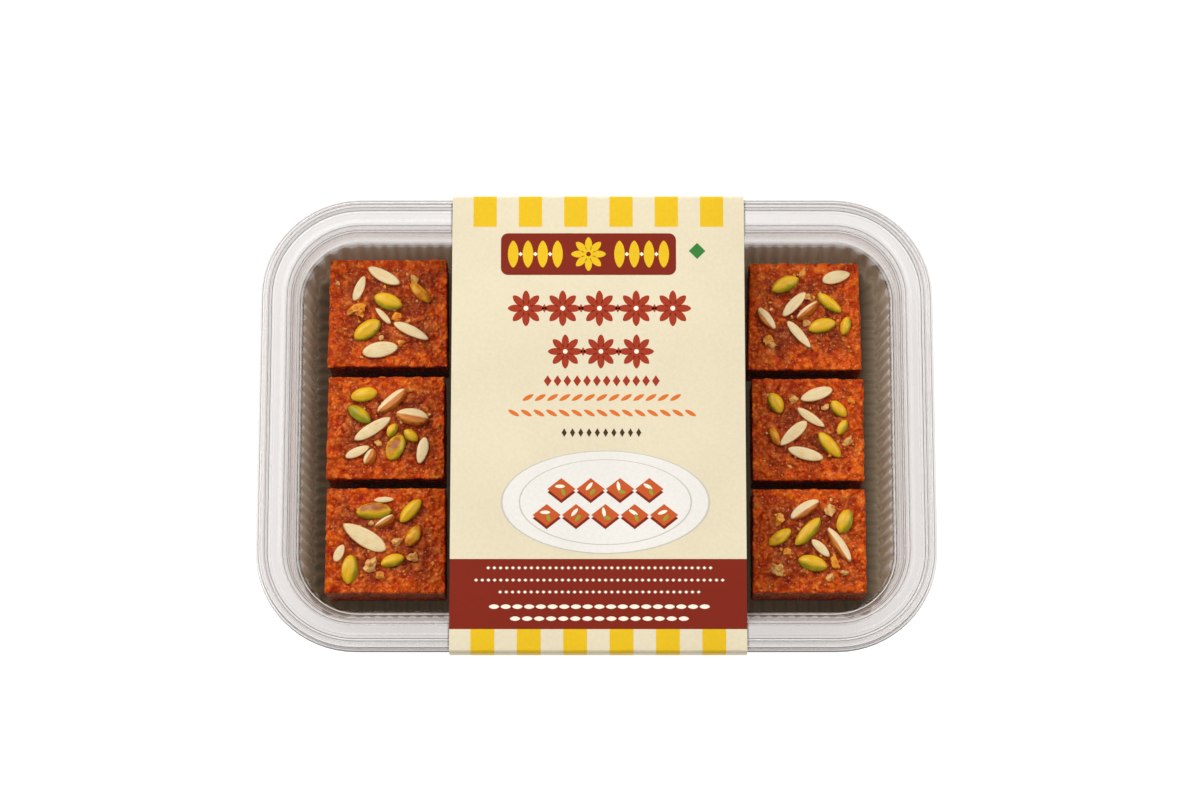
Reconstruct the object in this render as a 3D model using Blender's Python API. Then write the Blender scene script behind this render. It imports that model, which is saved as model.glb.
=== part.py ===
"""A retail pack of carrot barfi: twelve nut-topped sweets in a fluted clear tray, under a clear
lid with a sunken panel, wrapped in a card sleeve. Metres, +Z up. The origin is the middle of the
sleeve's underside, the pack's long side runs along X, and its front looks along -Y."""

import math
import random

import bmesh
import bpy
from mathutils import Matrix, Vector, noise

MM = 0.001
CLEARANCE = 0.3 * MM

# The pack's outline over the lid's rim
PACK_LENGTH = 228.0 * MM
PACK_WIDTH = 154.6 * MM
PACK_CORNER = 34.0 * MM
CORNER_STEPS = 6

# The lid's upper skin, from its lip over the rim down to its sunken panel: (inset from the
# pack's outline, height), in millimetres. Every other skin of the rim is worked out from it.
LID_PROFILE = (
    (0.0, 34.0),
    (0.2, 36.8),
    (1.2, 38.0),
    (3.5, 38.0),
    (3.9, 37.0),
    (9.6, 37.0),
    (10.3, 35.4),
    (11.4, 34.6),
    (12.1, 30.0),
    (13.2, 28.4),
    (14.6, 28.4),
)
LID_WALL = 0.5 * MM

# The tray's well, below the rim that the lid clips over
TRAY_WALL = 0.55 * MM
WELL_EDGE_INSET = 13.4 * MM
WELL_EDGE_CORNER = 20.0 * MM
FLUTES_TOP_INSET = 14.4 * MM
FLUTES_TOP_CORNER = 18.6 * MM
FLUTES_TOP_DROP = 1.4 * MM
WELL_FOOT_INSET = 16.7 * MM
WELL_FOOT_CORNER = 9.0 * MM
FLOOR_HEIGHT = 1.3 * MM
FLUTE_PITCH = 3.9 * MM
FLUTE_DEPTH = 1.0 * MM
CORNER_FLUTES = 5
CORNER_FLUTE_DEPTH = 1.8 * MM

# The card sleeve, a closed band round the pack's middle
CARD = 0.45 * MM
SLEEVE_LENGTH = 98.9 * MM
SLEEVE_MIDDLE = 0.6 * MM
SLEEVE_HEIGHT = 38.75 * MM
SLEEVE_HALF_WIDTH = 78.05 * MM
SLEEVE_KINK_HEIGHT = 30.0 * MM
SLEEVE_FOOT_HALF_WIDTH = 63.0 * MM
FOLD_RADIUS = 1.2 * MM
KINK_RADIUS = 9.0 * MM
FOLD_STEPS = 3

# The sweets: their height, and their columns along X and rows along Y in millimetres
SWEET_TOP = 22.2 * MM
SWEET_BOTTOM = FLOOR_HEIGHT + CLEARANCE
COLUMN_X = (-71.5, -23.8, 23.9, 71.8)
ROWS = {"back": 40.3, "middle": 0.6, "front": -38.0}
SWEET_CELLS = (8, 7, 3)
SWEET_TAPER = 0.3 * MM
SWEET_CORNER_DIP = 0.8 * MM
SWEET_EDGE_DIP = 0.32 * MM
SWEET_RELIEF = 0.4 * MM
RELIEF_SCALE = 5.0 * MM
GRID_SLACK = 0.001

# The six sweets that the sleeve leaves open: (x, y, width behind, width in front, depth), mm
SHOWN_SWEETS = {
    "barfi_back_1": (-71.4, 40.8, 40.0, 40.9, 37.5),
    "barfi_middle_1": (-71.7, 0.9, 39.6, 40.1, 35.3),
    "barfi_front_1": (-71.4, -37.9, 40.3, 40.6, 35.8),
    "barfi_back_4": (71.2, 39.7, 37.4, 38.9, 37.4),
    "barfi_middle_4": (72.0, 0.3, 38.2, 37.8, 35.2),
    "barfi_front_4": (72.0, -38.0, 38.3, 38.4, 35.4),
}

# Their toppings: (kind, x and y from the sweet's middle, length, width, turn), mm and degrees
SHOWN_TOPPINGS = {
    "barfi_back_1": (
        ("almond", -1.5, 13.0, 12.5, 4.2, -28),
        ("almond", -10.0, 8.5, 9.5, 3.3, 69),
        ("pistachio", 0.0, 4.0, 10.0, 5.5, -20),
        ("pistachio", 11.0, 7.0, 9.5, 3.8, -45),
        ("pistachio", -7.0, -6.0, 10.5, 5.8, 36),
        ("almond", 8.0, -6.5, 13.5, 3.6, -26),
        ("almond", -2.5, -13.0, 12.5, 5.5, 10),
        ("chunk", -10.5, 1.5, 6.0, 4.8, 0),
    ),
    "barfi_middle_1": (
        ("pistachio", -7.5, 11.5, 9.2, 4.8, 12),
        ("almond", 2.0, 9.0, 12.5, 4.2, 40),
        ("almond", 9.0, 3.5, 11.3, 5.8, -10),
        ("pistachio", -9.0, 4.5, 9.2, 4.5, -36),
        ("almond", -4.5, -0.5, 14.5, 4.2, 32),
        ("pistachio", 3.5, -7.0, 9.5, 6.0, 65),
        ("almond", -9.5, -8.5, 9.0, 3.6, 24),
        ("almond", 12.5, -8.0, 9.5, 3.9, 78),
    ),
    "barfi_front_1": (
        ("pistachio", -4.0, 10.5, 12.0, 5.5, 3),
        ("pistachio", 8.5, 10.0, 10.2, 4.5, 48),
        ("almond", -7.0, 1.5, 17.0, 6.1, -31),
        ("almond", 9.5, 1.5, 8.0, 3.9, 60),
        ("almond", -15.5, -3.5, 6.5, 3.2, 65),
        ("pistachio", -12.0, -9.0, 10.0, 5.5, 85),
        ("pistachio", 2.5, -7.0, 8.2, 4.2, 18),
        ("chunk", -3.5, -8.5, 5.0, 4.0, 40),
    ),
    "barfi_back_4": (
        ("pistachio", -6.5, 11.0, 10.2, 5.1, 26),
        ("almond", 11.0, 13.5, 10.0, 4.4, 14),
        ("almond", -3.5, 4.0, 11.6, 3.9, 47),
        ("pistachio", 8.5, 4.5, 10.2, 3.9, -40),
        ("almond", -13.0, -1.0, 9.2, 3.8, -52),
        ("pistachio", 6.0, -3.5, 9.5, 5.1, 15),
        ("pistachio", 14.0, -3.5, 6.5, 3.5, 75),
        ("almond", -2.0, -6.5, 12.3, 3.3, -50),
    ),
    "barfi_middle_4": (
        ("pistachio", -11.0, 9.0, 7.8, 4.8, -62),
        ("almond", 3.0, 12.0, 11.6, 4.4, 18),
        ("almond", 1.0, 3.5, 11.3, 3.3, -35),
        ("pistachio", 10.5, 6.5, 7.2, 4.1, -48),
        ("almond", -5.0, -2.0, 12.3, 4.2, 42),
        ("pistachio", -11.5, -2.5, 6.8, 3.0, -65),
        ("pistachio", 6.5, -6.0, 11.0, 4.5, -50),
        ("almond", -1.0, -8.5, 12.6, 4.2, -15),
    ),
    "barfi_front_4": (
        ("almond", -1.5, 10.5, 11.3, 4.4, 33),
        ("pistachio", 12.0, 6.5, 8.5, 5.1, 70),
        ("pistachio", -0.5, 3.0, 12.6, 4.5, 48),
        ("pistachio", -10.0, 1.0, 9.2, 4.2, 35),
        ("almond", 10.0, -1.5, 13.6, 3.6, -57),
        ("almond", 3.5, -2.5, 8.5, 3.3, -45),
        ("pistachio", 1.0, -7.5, 10.2, 5.1, -16),
        ("chunk", -10.5, -10.0, 5.5, 4.4, 0),
    ),
}

# Thickness of each topping, and how high its middle lies over the sweet's top
TOPPING_THICKNESS = {"almond": 2.0 * MM, "pistachio": 3.8 * MM, "chunk": 3.2 * MM}
TOPPING_LIFT = {"almond": 0.3 * MM, "pistachio": 0.5 * MM, "chunk": 0.2 * MM}
TOPPING_SIDES = 6
TOPPING_RINGS = 3

# The sweets under the sleeve, drawn within these sizes and shifts, in millimetres
HIDDEN_WIDTH = (38.3, 40.3)
HIDDEN_DEPTH = (35.2, 36.2)
HIDDEN_SHIFT_X = 0.4
HIDDEN_SHIFT_Y = 0.3

# Their toppings: one to a cell of a jittered 3 by 3 grid, in millimetres
HIDDEN_TOPPINGS = 7
CELL_X = 11.5
CELL_Y = 10.5
CELL_JITTER = 2.0
HIDDEN_LENGTH = (8.5, 13.0)
HIDDEN_SLIMNESS = {"almond": 0.34, "pistachio": 0.5}


def linear(red, green, blue):
    """A material's colour from the 0 to 255 values that a screen shows."""
    values = (value / 255 for value in (red, green, blue))
    return (*(v / 12.92 if v <= 0.04045 else ((v + 0.055) / 1.055) ** 2.4 for v in values), 1.0)


def plain_material(name, colour, roughness, alpha=1.0):
    material = bpy.data.materials.new(name)
    material.use_nodes = True
    shader = material.node_tree.nodes["Principled BSDF"]
    shader.inputs["Base Color"].default_value = linear(*colour)
    shader.inputs["Roughness"].default_value = roughness
    shader.inputs["Metallic"].default_value = 0.0
    shader.inputs["Alpha"].default_value = alpha
    return material


def add_object(name, bm, materials):
    bmesh.ops.recalc_face_normals(bm, faces=bm.faces)
    mesh = bpy.data.meshes.new(name)
    bm.to_mesh(mesh)
    bm.free()
    for material in materials:
        mesh.materials.append(material)
    obj = bpy.data.objects.new(name, mesh)
    bpy.context.scene.collection.objects.link(obj)
    return obj


def smooth(obj, sharp_degrees):
    obj.data.shade_smooth()
    obj.data.set_sharp_from_angle(angle=math.radians(sharp_degrees))


def corner_walk(radius, run, steps):
    """(point, normal) along a corner, from its arc's centre: a straight run along +Y, a quarter
    turn and a straight run along -X, in equal steps."""
    arc = radius * math.pi / 2
    for step in range(steps):
        past_run = (2 * run + arc) * step / steps - run
        angle = min(max(past_run / radius, 0), math.pi / 2)
        normal = Vector((math.cos(angle), math.sin(angle), 0))
        straight = Vector((-max(past_run - arc, 0), min(past_run, 0), 0))
        yield radius * normal + straight, normal


def stations(inset, radius, run, side_steps, corner_steps):
    """Points round the pack's outline moved in by inset, anticlockwise from the +X side. Each is
    (how far round, point, outward normal); a corner and the side after it are a quarter."""
    x = PACK_LENGTH / 2 - inset - radius
    y = PACK_WIDTH / 2 - inset - radius
    turns = [Matrix.Rotation(quarter * math.pi / 2, 3, "Z") for quarter in range(4)]
    centres = [Vector(at) for at in ((x, y, 0), (-x, y, 0), (-x, -y, 0), (x, -y, 0))]
    found = []
    for quarter, (turn, centre) in enumerate(zip(turns, centres)):
        for step, (point, normal) in enumerate(corner_walk(radius, run, corner_steps)):
            found.append((quarter + 0.5 * step / corner_steps, centre + turn @ point, turn @ normal))
        after = (quarter + 1) % 4
        start = centre + turn @ Vector((-run, radius, 0))
        end = centres[after] + turns[after] @ Vector((radius, -run, 0))
        steps = side_steps[quarter % 2]
        for step in range(steps):
            share = step / steps
            normal = turn @ Vector((0, 1, 0))
            found.append((quarter + 0.5 + share / 2, start.lerp(end, share), normal))
    return found


def smooth_ring(bm, inset, height):
    """A plain ring of the outline, with a point only where the outline bends."""
    return [
        (way, bm.verts.new((point.x, point.y, height)))
        for way, point, _ in stations(inset, PACK_CORNER - inset, 0, (1, 1), CORNER_STEPS)
    ]


def flute_counts():
    corners = 2 * (WELL_EDGE_INSET + WELL_EDGE_CORNER)
    return [round((side - corners) / FLUTE_PITCH) for side in (PACK_LENGTH, PACK_WIDTH)]


def edge_ring(bm, inset, radius, height):
    """A plain ring with one point to each flute."""
    walk = stations(inset, radius, 0, flute_counts(), CORNER_FLUTES)
    return [(way, bm.verts.new((point.x, point.y, height))) for way, point, _ in walk]


def fluted_ring(bm, inset, radius, height, corner_depth):
    """A ring that zigzags out and in once for each flute. Its sides' flutes stand straight
    under those of the well's edge, and the corner's share what is left."""
    run = WELL_EDGE_INSET + WELL_EDGE_CORNER - inset - radius
    doubled = [2 * count for count in flute_counts()]
    ring = []
    for number, station in enumerate(stations(inset, radius, run, doubled, 2 * CORNER_FLUTES)):
        way, point, normal = station
        in_corner = way % 1 < 0.5
        depth = corner_depth if in_corner else FLUTE_DEPTH
        side = 1 if number % 2 == 0 else -1
        place = point + normal * side * depth / 2
        ring.append((way, bm.verts.new((place.x, place.y, height))))
    return ring


def bridge(bm, first, second):
    """Fills the band between two rings, which may differ in how many points they have."""
    if len(first) == len(second):
        for i, (_, corner) in enumerate(first):
            after = (i + 1) % len(first)
            bm.faces.new((corner, first[after][1], second[after][1], second[i][1]))
        return
    i = j = 0
    while i < len(first) or j < len(second):
        here = first[i % len(first)][1]
        there = second[j % len(second)][1]
        next_first = first[i + 1][0] if i + 1 < len(first) else 4
        next_second = second[j + 1][0] if j + 1 < len(second) else 4
        if j == len(second) or (i < len(first) and next_first <= next_second):
            i += 1
            bm.faces.new((here, first[i % len(first)][1], there))
        else:
            j += 1
            bm.faces.new((here, second[j % len(second)][1], there))


def loft(bm, rings):
    """A closed shell through the rings, with a flat face on the first and the last."""
    for first, second in zip(rings, rings[1:]):
        bridge(bm, first, second)
    bm.faces.new([vertex for _, vertex in rings[0]])
    bm.faces.new([vertex for _, vertex in rings[-1]])


def offset_profile(profile, distance):
    """A profile of (inset, height) moved by distance to its under side, with mitred corners."""
    points = [Vector(point) for point in profile]
    normals = []
    for a, b in zip(points, points[1:]):
        along = (b - a).normalized()
        normals.append(Vector((along.y, -along.x)))
    moved = [points[0] + normals[0] * distance]
    for point, before, after in zip(points[1:-1], normals, normals[1:]):
        moved.append(point + (before + after) * distance / (1 + before.dot(after)))
    moved.append(points[-1] + normals[-1] * distance)
    return moved


def rim_profile(distance):
    lid = [(inset * MM, height * MM) for inset, height in LID_PROFILE]
    return offset_profile(lid, distance)


def build_lid(material):
    """The lid: a thin shell that clips over the tray's rim and drops to a flat panel."""
    bm = bmesh.new()
    upper = [smooth_ring(bm, inset, height) for inset, height in reversed(rim_profile(0))]
    under = [smooth_ring(bm, inset, height) for inset, height in rim_profile(LID_WALL)]
    loft(bm, upper + under)
    lid = add_object("lid", bm, [material])
    smooth(lid, 30)
    return lid


def tray_skin(bm, distance, wall):
    """One skin of the tray, from the lip over the rim and down the flutes to the floor."""
    *rim, (_, edge_height) = rim_profile(distance)
    rings = [smooth_ring(bm, inset, height) for inset, height in rim]
    rings.append(edge_ring(bm, WELL_EDGE_INSET - wall, WELL_EDGE_CORNER + wall, edge_height))
    top = edge_height - FLUTES_TOP_DROP
    top_corner = FLUTES_TOP_CORNER + wall
    rings.append(fluted_ring(bm, FLUTES_TOP_INSET - wall, top_corner, top, CORNER_FLUTE_DEPTH))
    foot = FLOOR_HEIGHT - wall
    foot_corner = WELL_FOOT_CORNER + wall
    rings.append(fluted_ring(bm, WELL_FOOT_INSET - wall, foot_corner, foot, FLUTE_DEPTH))
    return rings


def build_tray(material):
    """The tray: one thin sheet, formed into a rim under the lid's and a deep fluted well."""
    bm = bmesh.new()
    upper = tray_skin(bm, LID_WALL + CLEARANCE, 0)
    under = tray_skin(bm, LID_WALL + CLEARANCE + TRAY_WALL, TRAY_WALL)
    loft(bm, upper[::-1] + under)
    tray = add_object("tray", bm, [material])
    smooth(tray, 30)
    return tray


def rounded_corner(before, corner, after, radius):
    """Points along the round fold that replaces a corner of the sleeve's section."""
    to_before = (before - corner).normalized()
    to_after = (after - corner).normalized()
    half = to_before.angle(to_after) / 2
    reach = radius / math.tan(half)
    centre = corner + (to_before + to_after).normalized() * radius / math.sin(half)
    start = (corner + to_before * reach - centre).normalized()
    end = (corner + to_after * reach - centre).normalized()
    turns = [start.slerp(end, step / FOLD_STEPS) for step in range(FOLD_STEPS + 1)]
    return [centre + turn * radius for turn in turns]


def sleeve_section(inward):
    """The sleeve's closed section in Y and Z, moved in by inward."""
    half = SLEEVE_HALF_WIDTH - inward
    foot = SLEEVE_FOOT_HALF_WIDTH - inward
    top = SLEEVE_HEIGHT - inward
    corners = [
        (half, top, FOLD_RADIUS),
        (half, SLEEVE_KINK_HEIGHT, KINK_RADIUS),
        (foot, inward, FOLD_RADIUS),
        (-foot, inward, FOLD_RADIUS),
        (-half, SLEEVE_KINK_HEIGHT, KINK_RADIUS),
        (-half, top, FOLD_RADIUS),
    ]
    places = [Vector((0, y, z)) for y, z, _ in corners]
    section = []
    for number, (_, _, radius) in enumerate(corners):
        before = places[number - 1]
        after = places[(number + 1) % len(places)]
        section += rounded_corner(before, places[number], after, radius - inward)
    return section


def build_sleeve(material):
    """The sleeve: a band of card round the pack, folded at the rim and at the tray's foot."""
    bm = bmesh.new()
    loops = []
    for inward in (0, CARD):
        for side in (-1, 1):
            x = Vector((SLEEVE_MIDDLE + side * SLEEVE_LENGTH / 2, 0, 0))
            loops.append([bm.verts.new(point + x) for point in sleeve_section(inward)])
    outer_left, outer_right, inner_left, inner_right = loops
    for first, second in (
        (outer_left, outer_right),
        (outer_right, inner_right),
        (inner_right, inner_left),
        (inner_left, outer_left),
    ):
        for i, corner in enumerate(first):
            after = (i + 1) % len(first)
            bm.faces.new((corner, first[after], second[after], second[i]))
    sleeve = add_object("sleeve", bm, [material])
    smooth(sleeve, 40)
    return sleeve


def outward(corner):
    """The way out of the face, edge or corner of the unit block that a point is on. Its
    underside doesn't count."""
    u, v, w = corner
    near_side = 0.5 - GRID_SLACK
    return Vector((
        u if abs(u) > near_side else 0,
        v if abs(v) > near_side else 0,
        1 if w > -GRID_SLACK else 0,
    ))


def worn(way):
    """How far a corner or an edge of a sweet is worn in."""
    if way.x and way.y:
        return SWEET_CORNER_DIP
    if way.z and (way.x or way.y):
        return SWEET_EDGE_DIP
    return 0


def sweet_body(name, place, material):
    """One sweet: a cut block with a crumbly uneven top and sides and a flat underside."""
    x, y, width_behind, width_front, depth = (value * MM for value in place)
    across, along, layers = SWEET_CELLS
    height = SWEET_TOP - SWEET_BOTTOM
    bm = bmesh.new()
    bmesh.ops.create_grid(bm, x_segments=across, y_segments=along, size=0.5)
    for _ in range(layers):
        rim = [edge for edge in bm.edges if edge.is_boundary]
        lower = bmesh.ops.extrude_edge_only(bm, edges=rim)["geom"]
        for vertex in (item for item in lower if isinstance(item, bmesh.types.BMVert)):
            vertex.co.z -= 1 / layers
    bmesh.ops.holes_fill(bm, edges=[edge for edge in bm.edges if edge.is_boundary], sides=0)
    shift = Vector((x, y, 0)) / RELIEF_SCALE
    for vertex in bm.verts:
        u, v, w = vertex.co
        way = outward(vertex.co)
        width = width_front + (width_behind - width_front) * (v + 0.5) + w * SWEET_TAPER
        point = Vector((u * width, v * (depth + w * SWEET_TAPER), w * height))
        at_foot = w < GRID_SLACK - 1
        bump = 0 if at_foot else SWEET_RELIEF * noise.noise(point / RELIEF_SCALE + shift)
        vertex.co = point + way.normalized() * (bump - worn(way))
    bmesh.ops.translate(bm, verts=bm.verts, vec=(x, y, SWEET_TOP - SWEET_RELIEF / 2))
    for vertex in bm.verts:
        vertex.co.z = max(vertex.co.z, SWEET_BOTTOM)
    return add_object(name, bm, [material])


def topping(kind, x, y, length, width, turn, material):
    """One nut: a kernel pointed at both ends, or a rough chunk, lying on the sweet."""
    bm = bmesh.new()
    if kind == "chunk":
        bmesh.ops.create_icosphere(bm, subdivisions=1, radius=0.5)
    else:
        poles_along_x = Matrix.Rotation(math.pi / 2, 4, "Y")
        bmesh.ops.create_uvsphere(
            bm,
            u_segments=TOPPING_SIDES,
            v_segments=TOPPING_RINGS,
            radius=0.5,
            matrix=poles_along_x,
        )
    size = Matrix.Diagonal((length, width, TOPPING_THICKNESS[kind], 1))
    heading = Matrix.Rotation(math.radians(turn), 4, "Z")
    lift = Matrix.Translation((x, y, SWEET_TOP + TOPPING_LIFT[kind]))
    bmesh.ops.transform(bm, matrix=lift @ heading @ size, verts=bm.verts)
    return add_object(kind, bm, [material])


def fuse(body, toppings):
    """Makes the sweet and its toppings one solid."""
    pile = bpy.data.collections.new(body.name + "_toppings")
    for piece in toppings:
        pile.objects.link(piece)
    union = body.modifiers.new("toppings", "BOOLEAN")
    union.operation = "UNION"
    union.operand_type = "COLLECTION"
    union.collection = pile
    union.solver = "EXACT"
    union.material_mode = "TRANSFER"
    graph = bpy.context.evaluated_depsgraph_get()
    joined = bpy.data.meshes.new_from_object(body.evaluated_get(graph))
    body.modifiers.clear()
    body.data = joined
    for piece in toppings:
        bpy.data.objects.remove(piece)
    bpy.data.collections.remove(pile)


def hidden_toppings(name):
    """Toppings for a sweet under the sleeve, drawn to match the ones that show."""
    draw = random.Random(name)
    cells = [(i, j) for i in (-1, 0, 1) for j in (-1, 0, 1)]
    draw.shuffle(cells)
    found = []
    for number, (i, j) in enumerate(cells[:HIDDEN_TOPPINGS]):
        kind = ("almond", "pistachio")[number % 2]
        x = i * CELL_X + draw.uniform(-CELL_JITTER, CELL_JITTER)
        y = j * CELL_Y + draw.uniform(-CELL_JITTER, CELL_JITTER)
        length = draw.uniform(*HIDDEN_LENGTH)
        found.append((kind, x, y, length, length * HIDDEN_SLIMNESS[kind], draw.uniform(0, 180)))
    return found


def hidden_sweet(name, column, row):
    """Place and size of a sweet under the sleeve, drawn to match the ones that show."""
    draw = random.Random(name + "_size")
    width = draw.uniform(*HIDDEN_WIDTH)
    x = COLUMN_X[column] + draw.uniform(-HIDDEN_SHIFT_X, HIDDEN_SHIFT_X)
    y = ROWS[row] + draw.uniform(-HIDDEN_SHIFT_Y, HIDDEN_SHIFT_Y)
    lean = draw.uniform(-HIDDEN_SHIFT_Y, HIDDEN_SHIFT_Y)
    return x, y, width, width + lean, draw.uniform(*HIDDEN_DEPTH)


def build_sweet(name, row, column, materials):
    place = SHOWN_SWEETS.get(name) or hidden_sweet(name, column, row)
    body = sweet_body(name, place, materials["barfi"])
    pieces = []
    for kind, x, y, length, width, turn in SHOWN_TOPPINGS.get(name) or hidden_toppings(name):
        at = ((place[0] + x) * MM, (place[1] + y) * MM)
        pieces.append(topping(kind, *at, length * MM, width * MM, turn, materials[kind]))
    fuse(body, pieces)
    return body


def main():
    for obj in list(bpy.data.objects):
        bpy.data.objects.remove(obj)
    materials = {
        "barfi": plain_material("barfi", (176, 84, 34), 0.6),
        "almond": plain_material("almond", (232, 200, 152), 0.5),
        "pistachio": plain_material("pistachio", (186, 170, 42), 0.4),
        "chunk": plain_material("chunk", (222, 150, 62), 0.6),
    }
    build_tray(plain_material("tray_plastic", (190, 182, 176), 0.15, 0.5))
    build_lid(plain_material("lid_plastic", (236, 233, 232), 0.1, 0.35))
    build_sleeve(plain_material("sleeve_card", (238, 227, 194), 0.55))
    for row in ROWS:
        for column in range(len(COLUMN_X)):
            build_sweet(f"barfi_{row}_{column + 1}", row, column, materials)


main()
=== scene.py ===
"""The looks of a pack of carrot barfi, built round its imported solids: crumbly sweets topped with
nuts, a fluted tray and a lid of clear film, and a printed card sleeve. Metres, +Z up."""

import math
import random

import bmesh
import bpy
from mathutils import Matrix, Vector, noise


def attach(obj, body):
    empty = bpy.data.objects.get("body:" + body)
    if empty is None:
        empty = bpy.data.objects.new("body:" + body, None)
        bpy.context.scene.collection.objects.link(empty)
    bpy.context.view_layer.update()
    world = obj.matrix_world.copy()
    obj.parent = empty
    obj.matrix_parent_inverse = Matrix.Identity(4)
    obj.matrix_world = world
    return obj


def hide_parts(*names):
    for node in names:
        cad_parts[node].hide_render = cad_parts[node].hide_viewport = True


MM = 0.001

# The camera, fitted to the photograph: it looks down at the pack from in front
CAMERA_ELEVATION = 78.94
CAMERA_DISTANCE = 1183.6 * MM
CAMERA_AIM = Vector((1.2, 11.06, 19.2)) * MM
SENSOR_WIDTH = 36.0
CAMERA_LENS = 103.9

# The pack's outline over the lid's rim
PACK_LENGTH = 228.0 * MM
PACK_WIDTH = 154.6 * MM
PACK_CORNER = 34.0 * MM
CORNER_STEPS = 16

# The lid's upper skin from its lip down to its sunken panel: (inset, height), in millimetres
LID_PROFILE = (
    (0.0, 34.0),
    (0.2, 36.8),
    (1.2, 38.0),
    (3.5, 38.0),
    (3.9, 37.0),
    (9.6, 37.0),
    (10.3, 35.4),
    (11.4, 34.6),
    (12.1, 30.0),
    (13.2, 28.4),
    (14.6, 28.4),
)
LID_WALL = 0.5 * MM
CLEARANCE = 0.3 * MM
BEND_RADIUS = 0.5 * MM
BEND_STEPS = 4
BEND_SHARE = 0.42
PANEL_INSET = 17.0 * MM
# The lid's raised beads: (inset, strength of the painted line on the bead's crest, a painted dark line above 0 and a
# painted highlight below 0)
BEADS = ((2.2 * MM, 0.15), (5.2 * MM, 0.15), (8.5 * MM, -0.2), (14.15 * MM, 1.3))
BEAD_WIDTH = 0.4 * MM
BEAD_HEIGHT = 0.12 * MM
# Painted lines on the film: a painted dark line and a painted highlight along each bend, a painted dark line along
# the cut edge, their colour, and their strengths on the upper and under skins of the lid and the tray
SHARP_TURN = math.radians(40)
CREST_SHARE = 0.7
CUT_EDGE = 0.17 * MM
WELL_SIDE = 12.0 * MM
CUT_EDGE_SHARE = 0.25
PAINTED_LINE_SHADE = (70, 66, 64)
PAINTED_HIGHLIGHT_SHARE = 0.85
# A painted shadow on the film next to each end of the sleeve: how far it reaches and how dark it gets
SLEEVE_SHADOW_REACH = 0.8 * MM
SLEEVE_SHADOW_SHARE = 0.35
LID_LINES = (1.0, 0.08)
TRAY_LINES = (0.3, 0.08)

# The tray's well
TRAY_WALL = 0.55 * MM
WELL_EDGE_INSET = 13.4 * MM
WELL_EDGE_CORNER = 20.0 * MM
FLUTES_TOP_INSET = 14.4 * MM
FLUTES_TOP_CORNER = 18.6 * MM
FLUTES_TOP_DROP = 1.4 * MM
WELL_FOOT_INSET = 16.7 * MM
WELL_FOOT_CORNER = 9.0 * MM
FLOOR_HEIGHT = 1.3 * MM
FOOT_FILLET = 0.8 * MM
FLUTE_PITCH = 3.9 * MM
FLUTE_DEPTH = 1.0 * MM
FLUTE_COLUMNS = 12
FLUTE_ROUNDNESS = 0.6
CORNER_FLUTES = 5
CORNER_FLUTE_DEPTH = 1.8 * MM
WALL_ROWS = 8
TIP_ROWS = 3
LONG_SIDE_TIPS = 0.3
# How much the painted lines show at the back, and the strength of the painted light and dark streaks down the flutes
# and onto the floor
BACK_LINE_SHARE = 0.3
STREAK = 0.09
FLOOR_STREAKS = ((4.0 * MM, 0.08), (6.5 * MM, 0.0))
WALL_SLANT = 0.6
WALL_EVENNESS = 0.8
# The colour of the painted shade on the well's walls, lighter than on its floor
WALL_SHADE = (238, 224, 205)
# A painted dark band at the top of the front wall, a painted highlight along the well's edge, and painted lines on
# the flutes' tips, by row
FRONT_SHADE = 0.8
FRONT_SHADE_REACH = 0.25
EDGE_FOLD = -0.9
EDGE_LINE_REACH = 0.05 * MM
TIP_FOLDS = (0.35, 0.0, -0.42, -0.58)

TIP_LINE_SHARE = 0.02
FOOT_ROWS = 3

# The card sleeve
CARD = 0.45 * MM
SLEEVE_LENGTH = 98.9 * MM
SLEEVE_MIDDLE = 0.6 * MM
SLEEVE_HEIGHT = 38.75 * MM
SLEEVE_HALF_WIDTH = 78.05 * MM
SLEEVE_KINK_HEIGHT = 30.0 * MM
SLEEVE_FOOT_HALF_WIDTH = 63.0 * MM
FOLD_RADIUS = 1.2 * MM
KINK_RADIUS = 9.0 * MM
FOLD_STEPS = 8

# Its print, on the top, in millimetres: yellow stripes that wrap over the folds, a dark band
STRIPES = 6
STRIPE_FIRST = -37.8
STRIPE_PITCH = 15.38
STRIPE_WIDTH = 7.9
BACK_STRIPES_FROM = 67.1
FRONT_STRIPES_FROM = -70.2
BAND_BACK = -46.7
BAND_FRONT = -70.2
PLATE_X = 3.0
PLATE_Y = -27.5
PRINT_LIFT = 0.01 * MM
PRINT_THICKNESS = 0.03 * MM

# The sweets: their height, and their columns along X and rows along Y in millimetres
SWEET_TOP = 22.2 * MM
SWEET_BOTTOM = FLOOR_HEIGHT + CLEARANCE
COLUMN_X = (-71.5, -23.8, 23.9, 71.8)
ROWS = {"back": 40.3, "middle": 0.6, "front": -38.0}
SWEET_TAPER = 0.3 * MM
SWEET_EDGE = 0.55 * MM
SHOWN_CELLS = (120, 108, 34)
HIDDEN_CELLS = (60, 54, 18)

# The crumb's relief: the size of each kind of unevenness, and how far it stands out
SWELL_SIZE = 6.0 * MM
SWELL_HEIGHT = 0.3 * MM
CLUMP_SIZE = 2.5 * MM
CLUMP_HEIGHT = 0.38 * MM
GRAIN_SIZE = 1.2 * MM
GRAIN_HEIGHT = 0.3 * MM
SIDE_RELIEF = 0.5
PIT_SIZE = 1.7 * MM
PIT_DEPTH = 0.3 * MM
SPECK_SIZE = 1.1 * MM
# The crumb's painted glints, their scale and share, and how light its painted crest highlight is.
GLINT_SCALE = 1500.0
GLINT_SHARE = 0.5
CREST_LIGHT = 0.45
# How far in from a sweet's edge it turns browner and duller, partly from oil and partly as painted shade.
OIL_AND_SHADE_MARGIN = 9.0 * MM
# Share of a sweet's height below its top over which the painted shade on its sides grows to full.
SIDE_SHADE_FADE = 0.12

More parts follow.
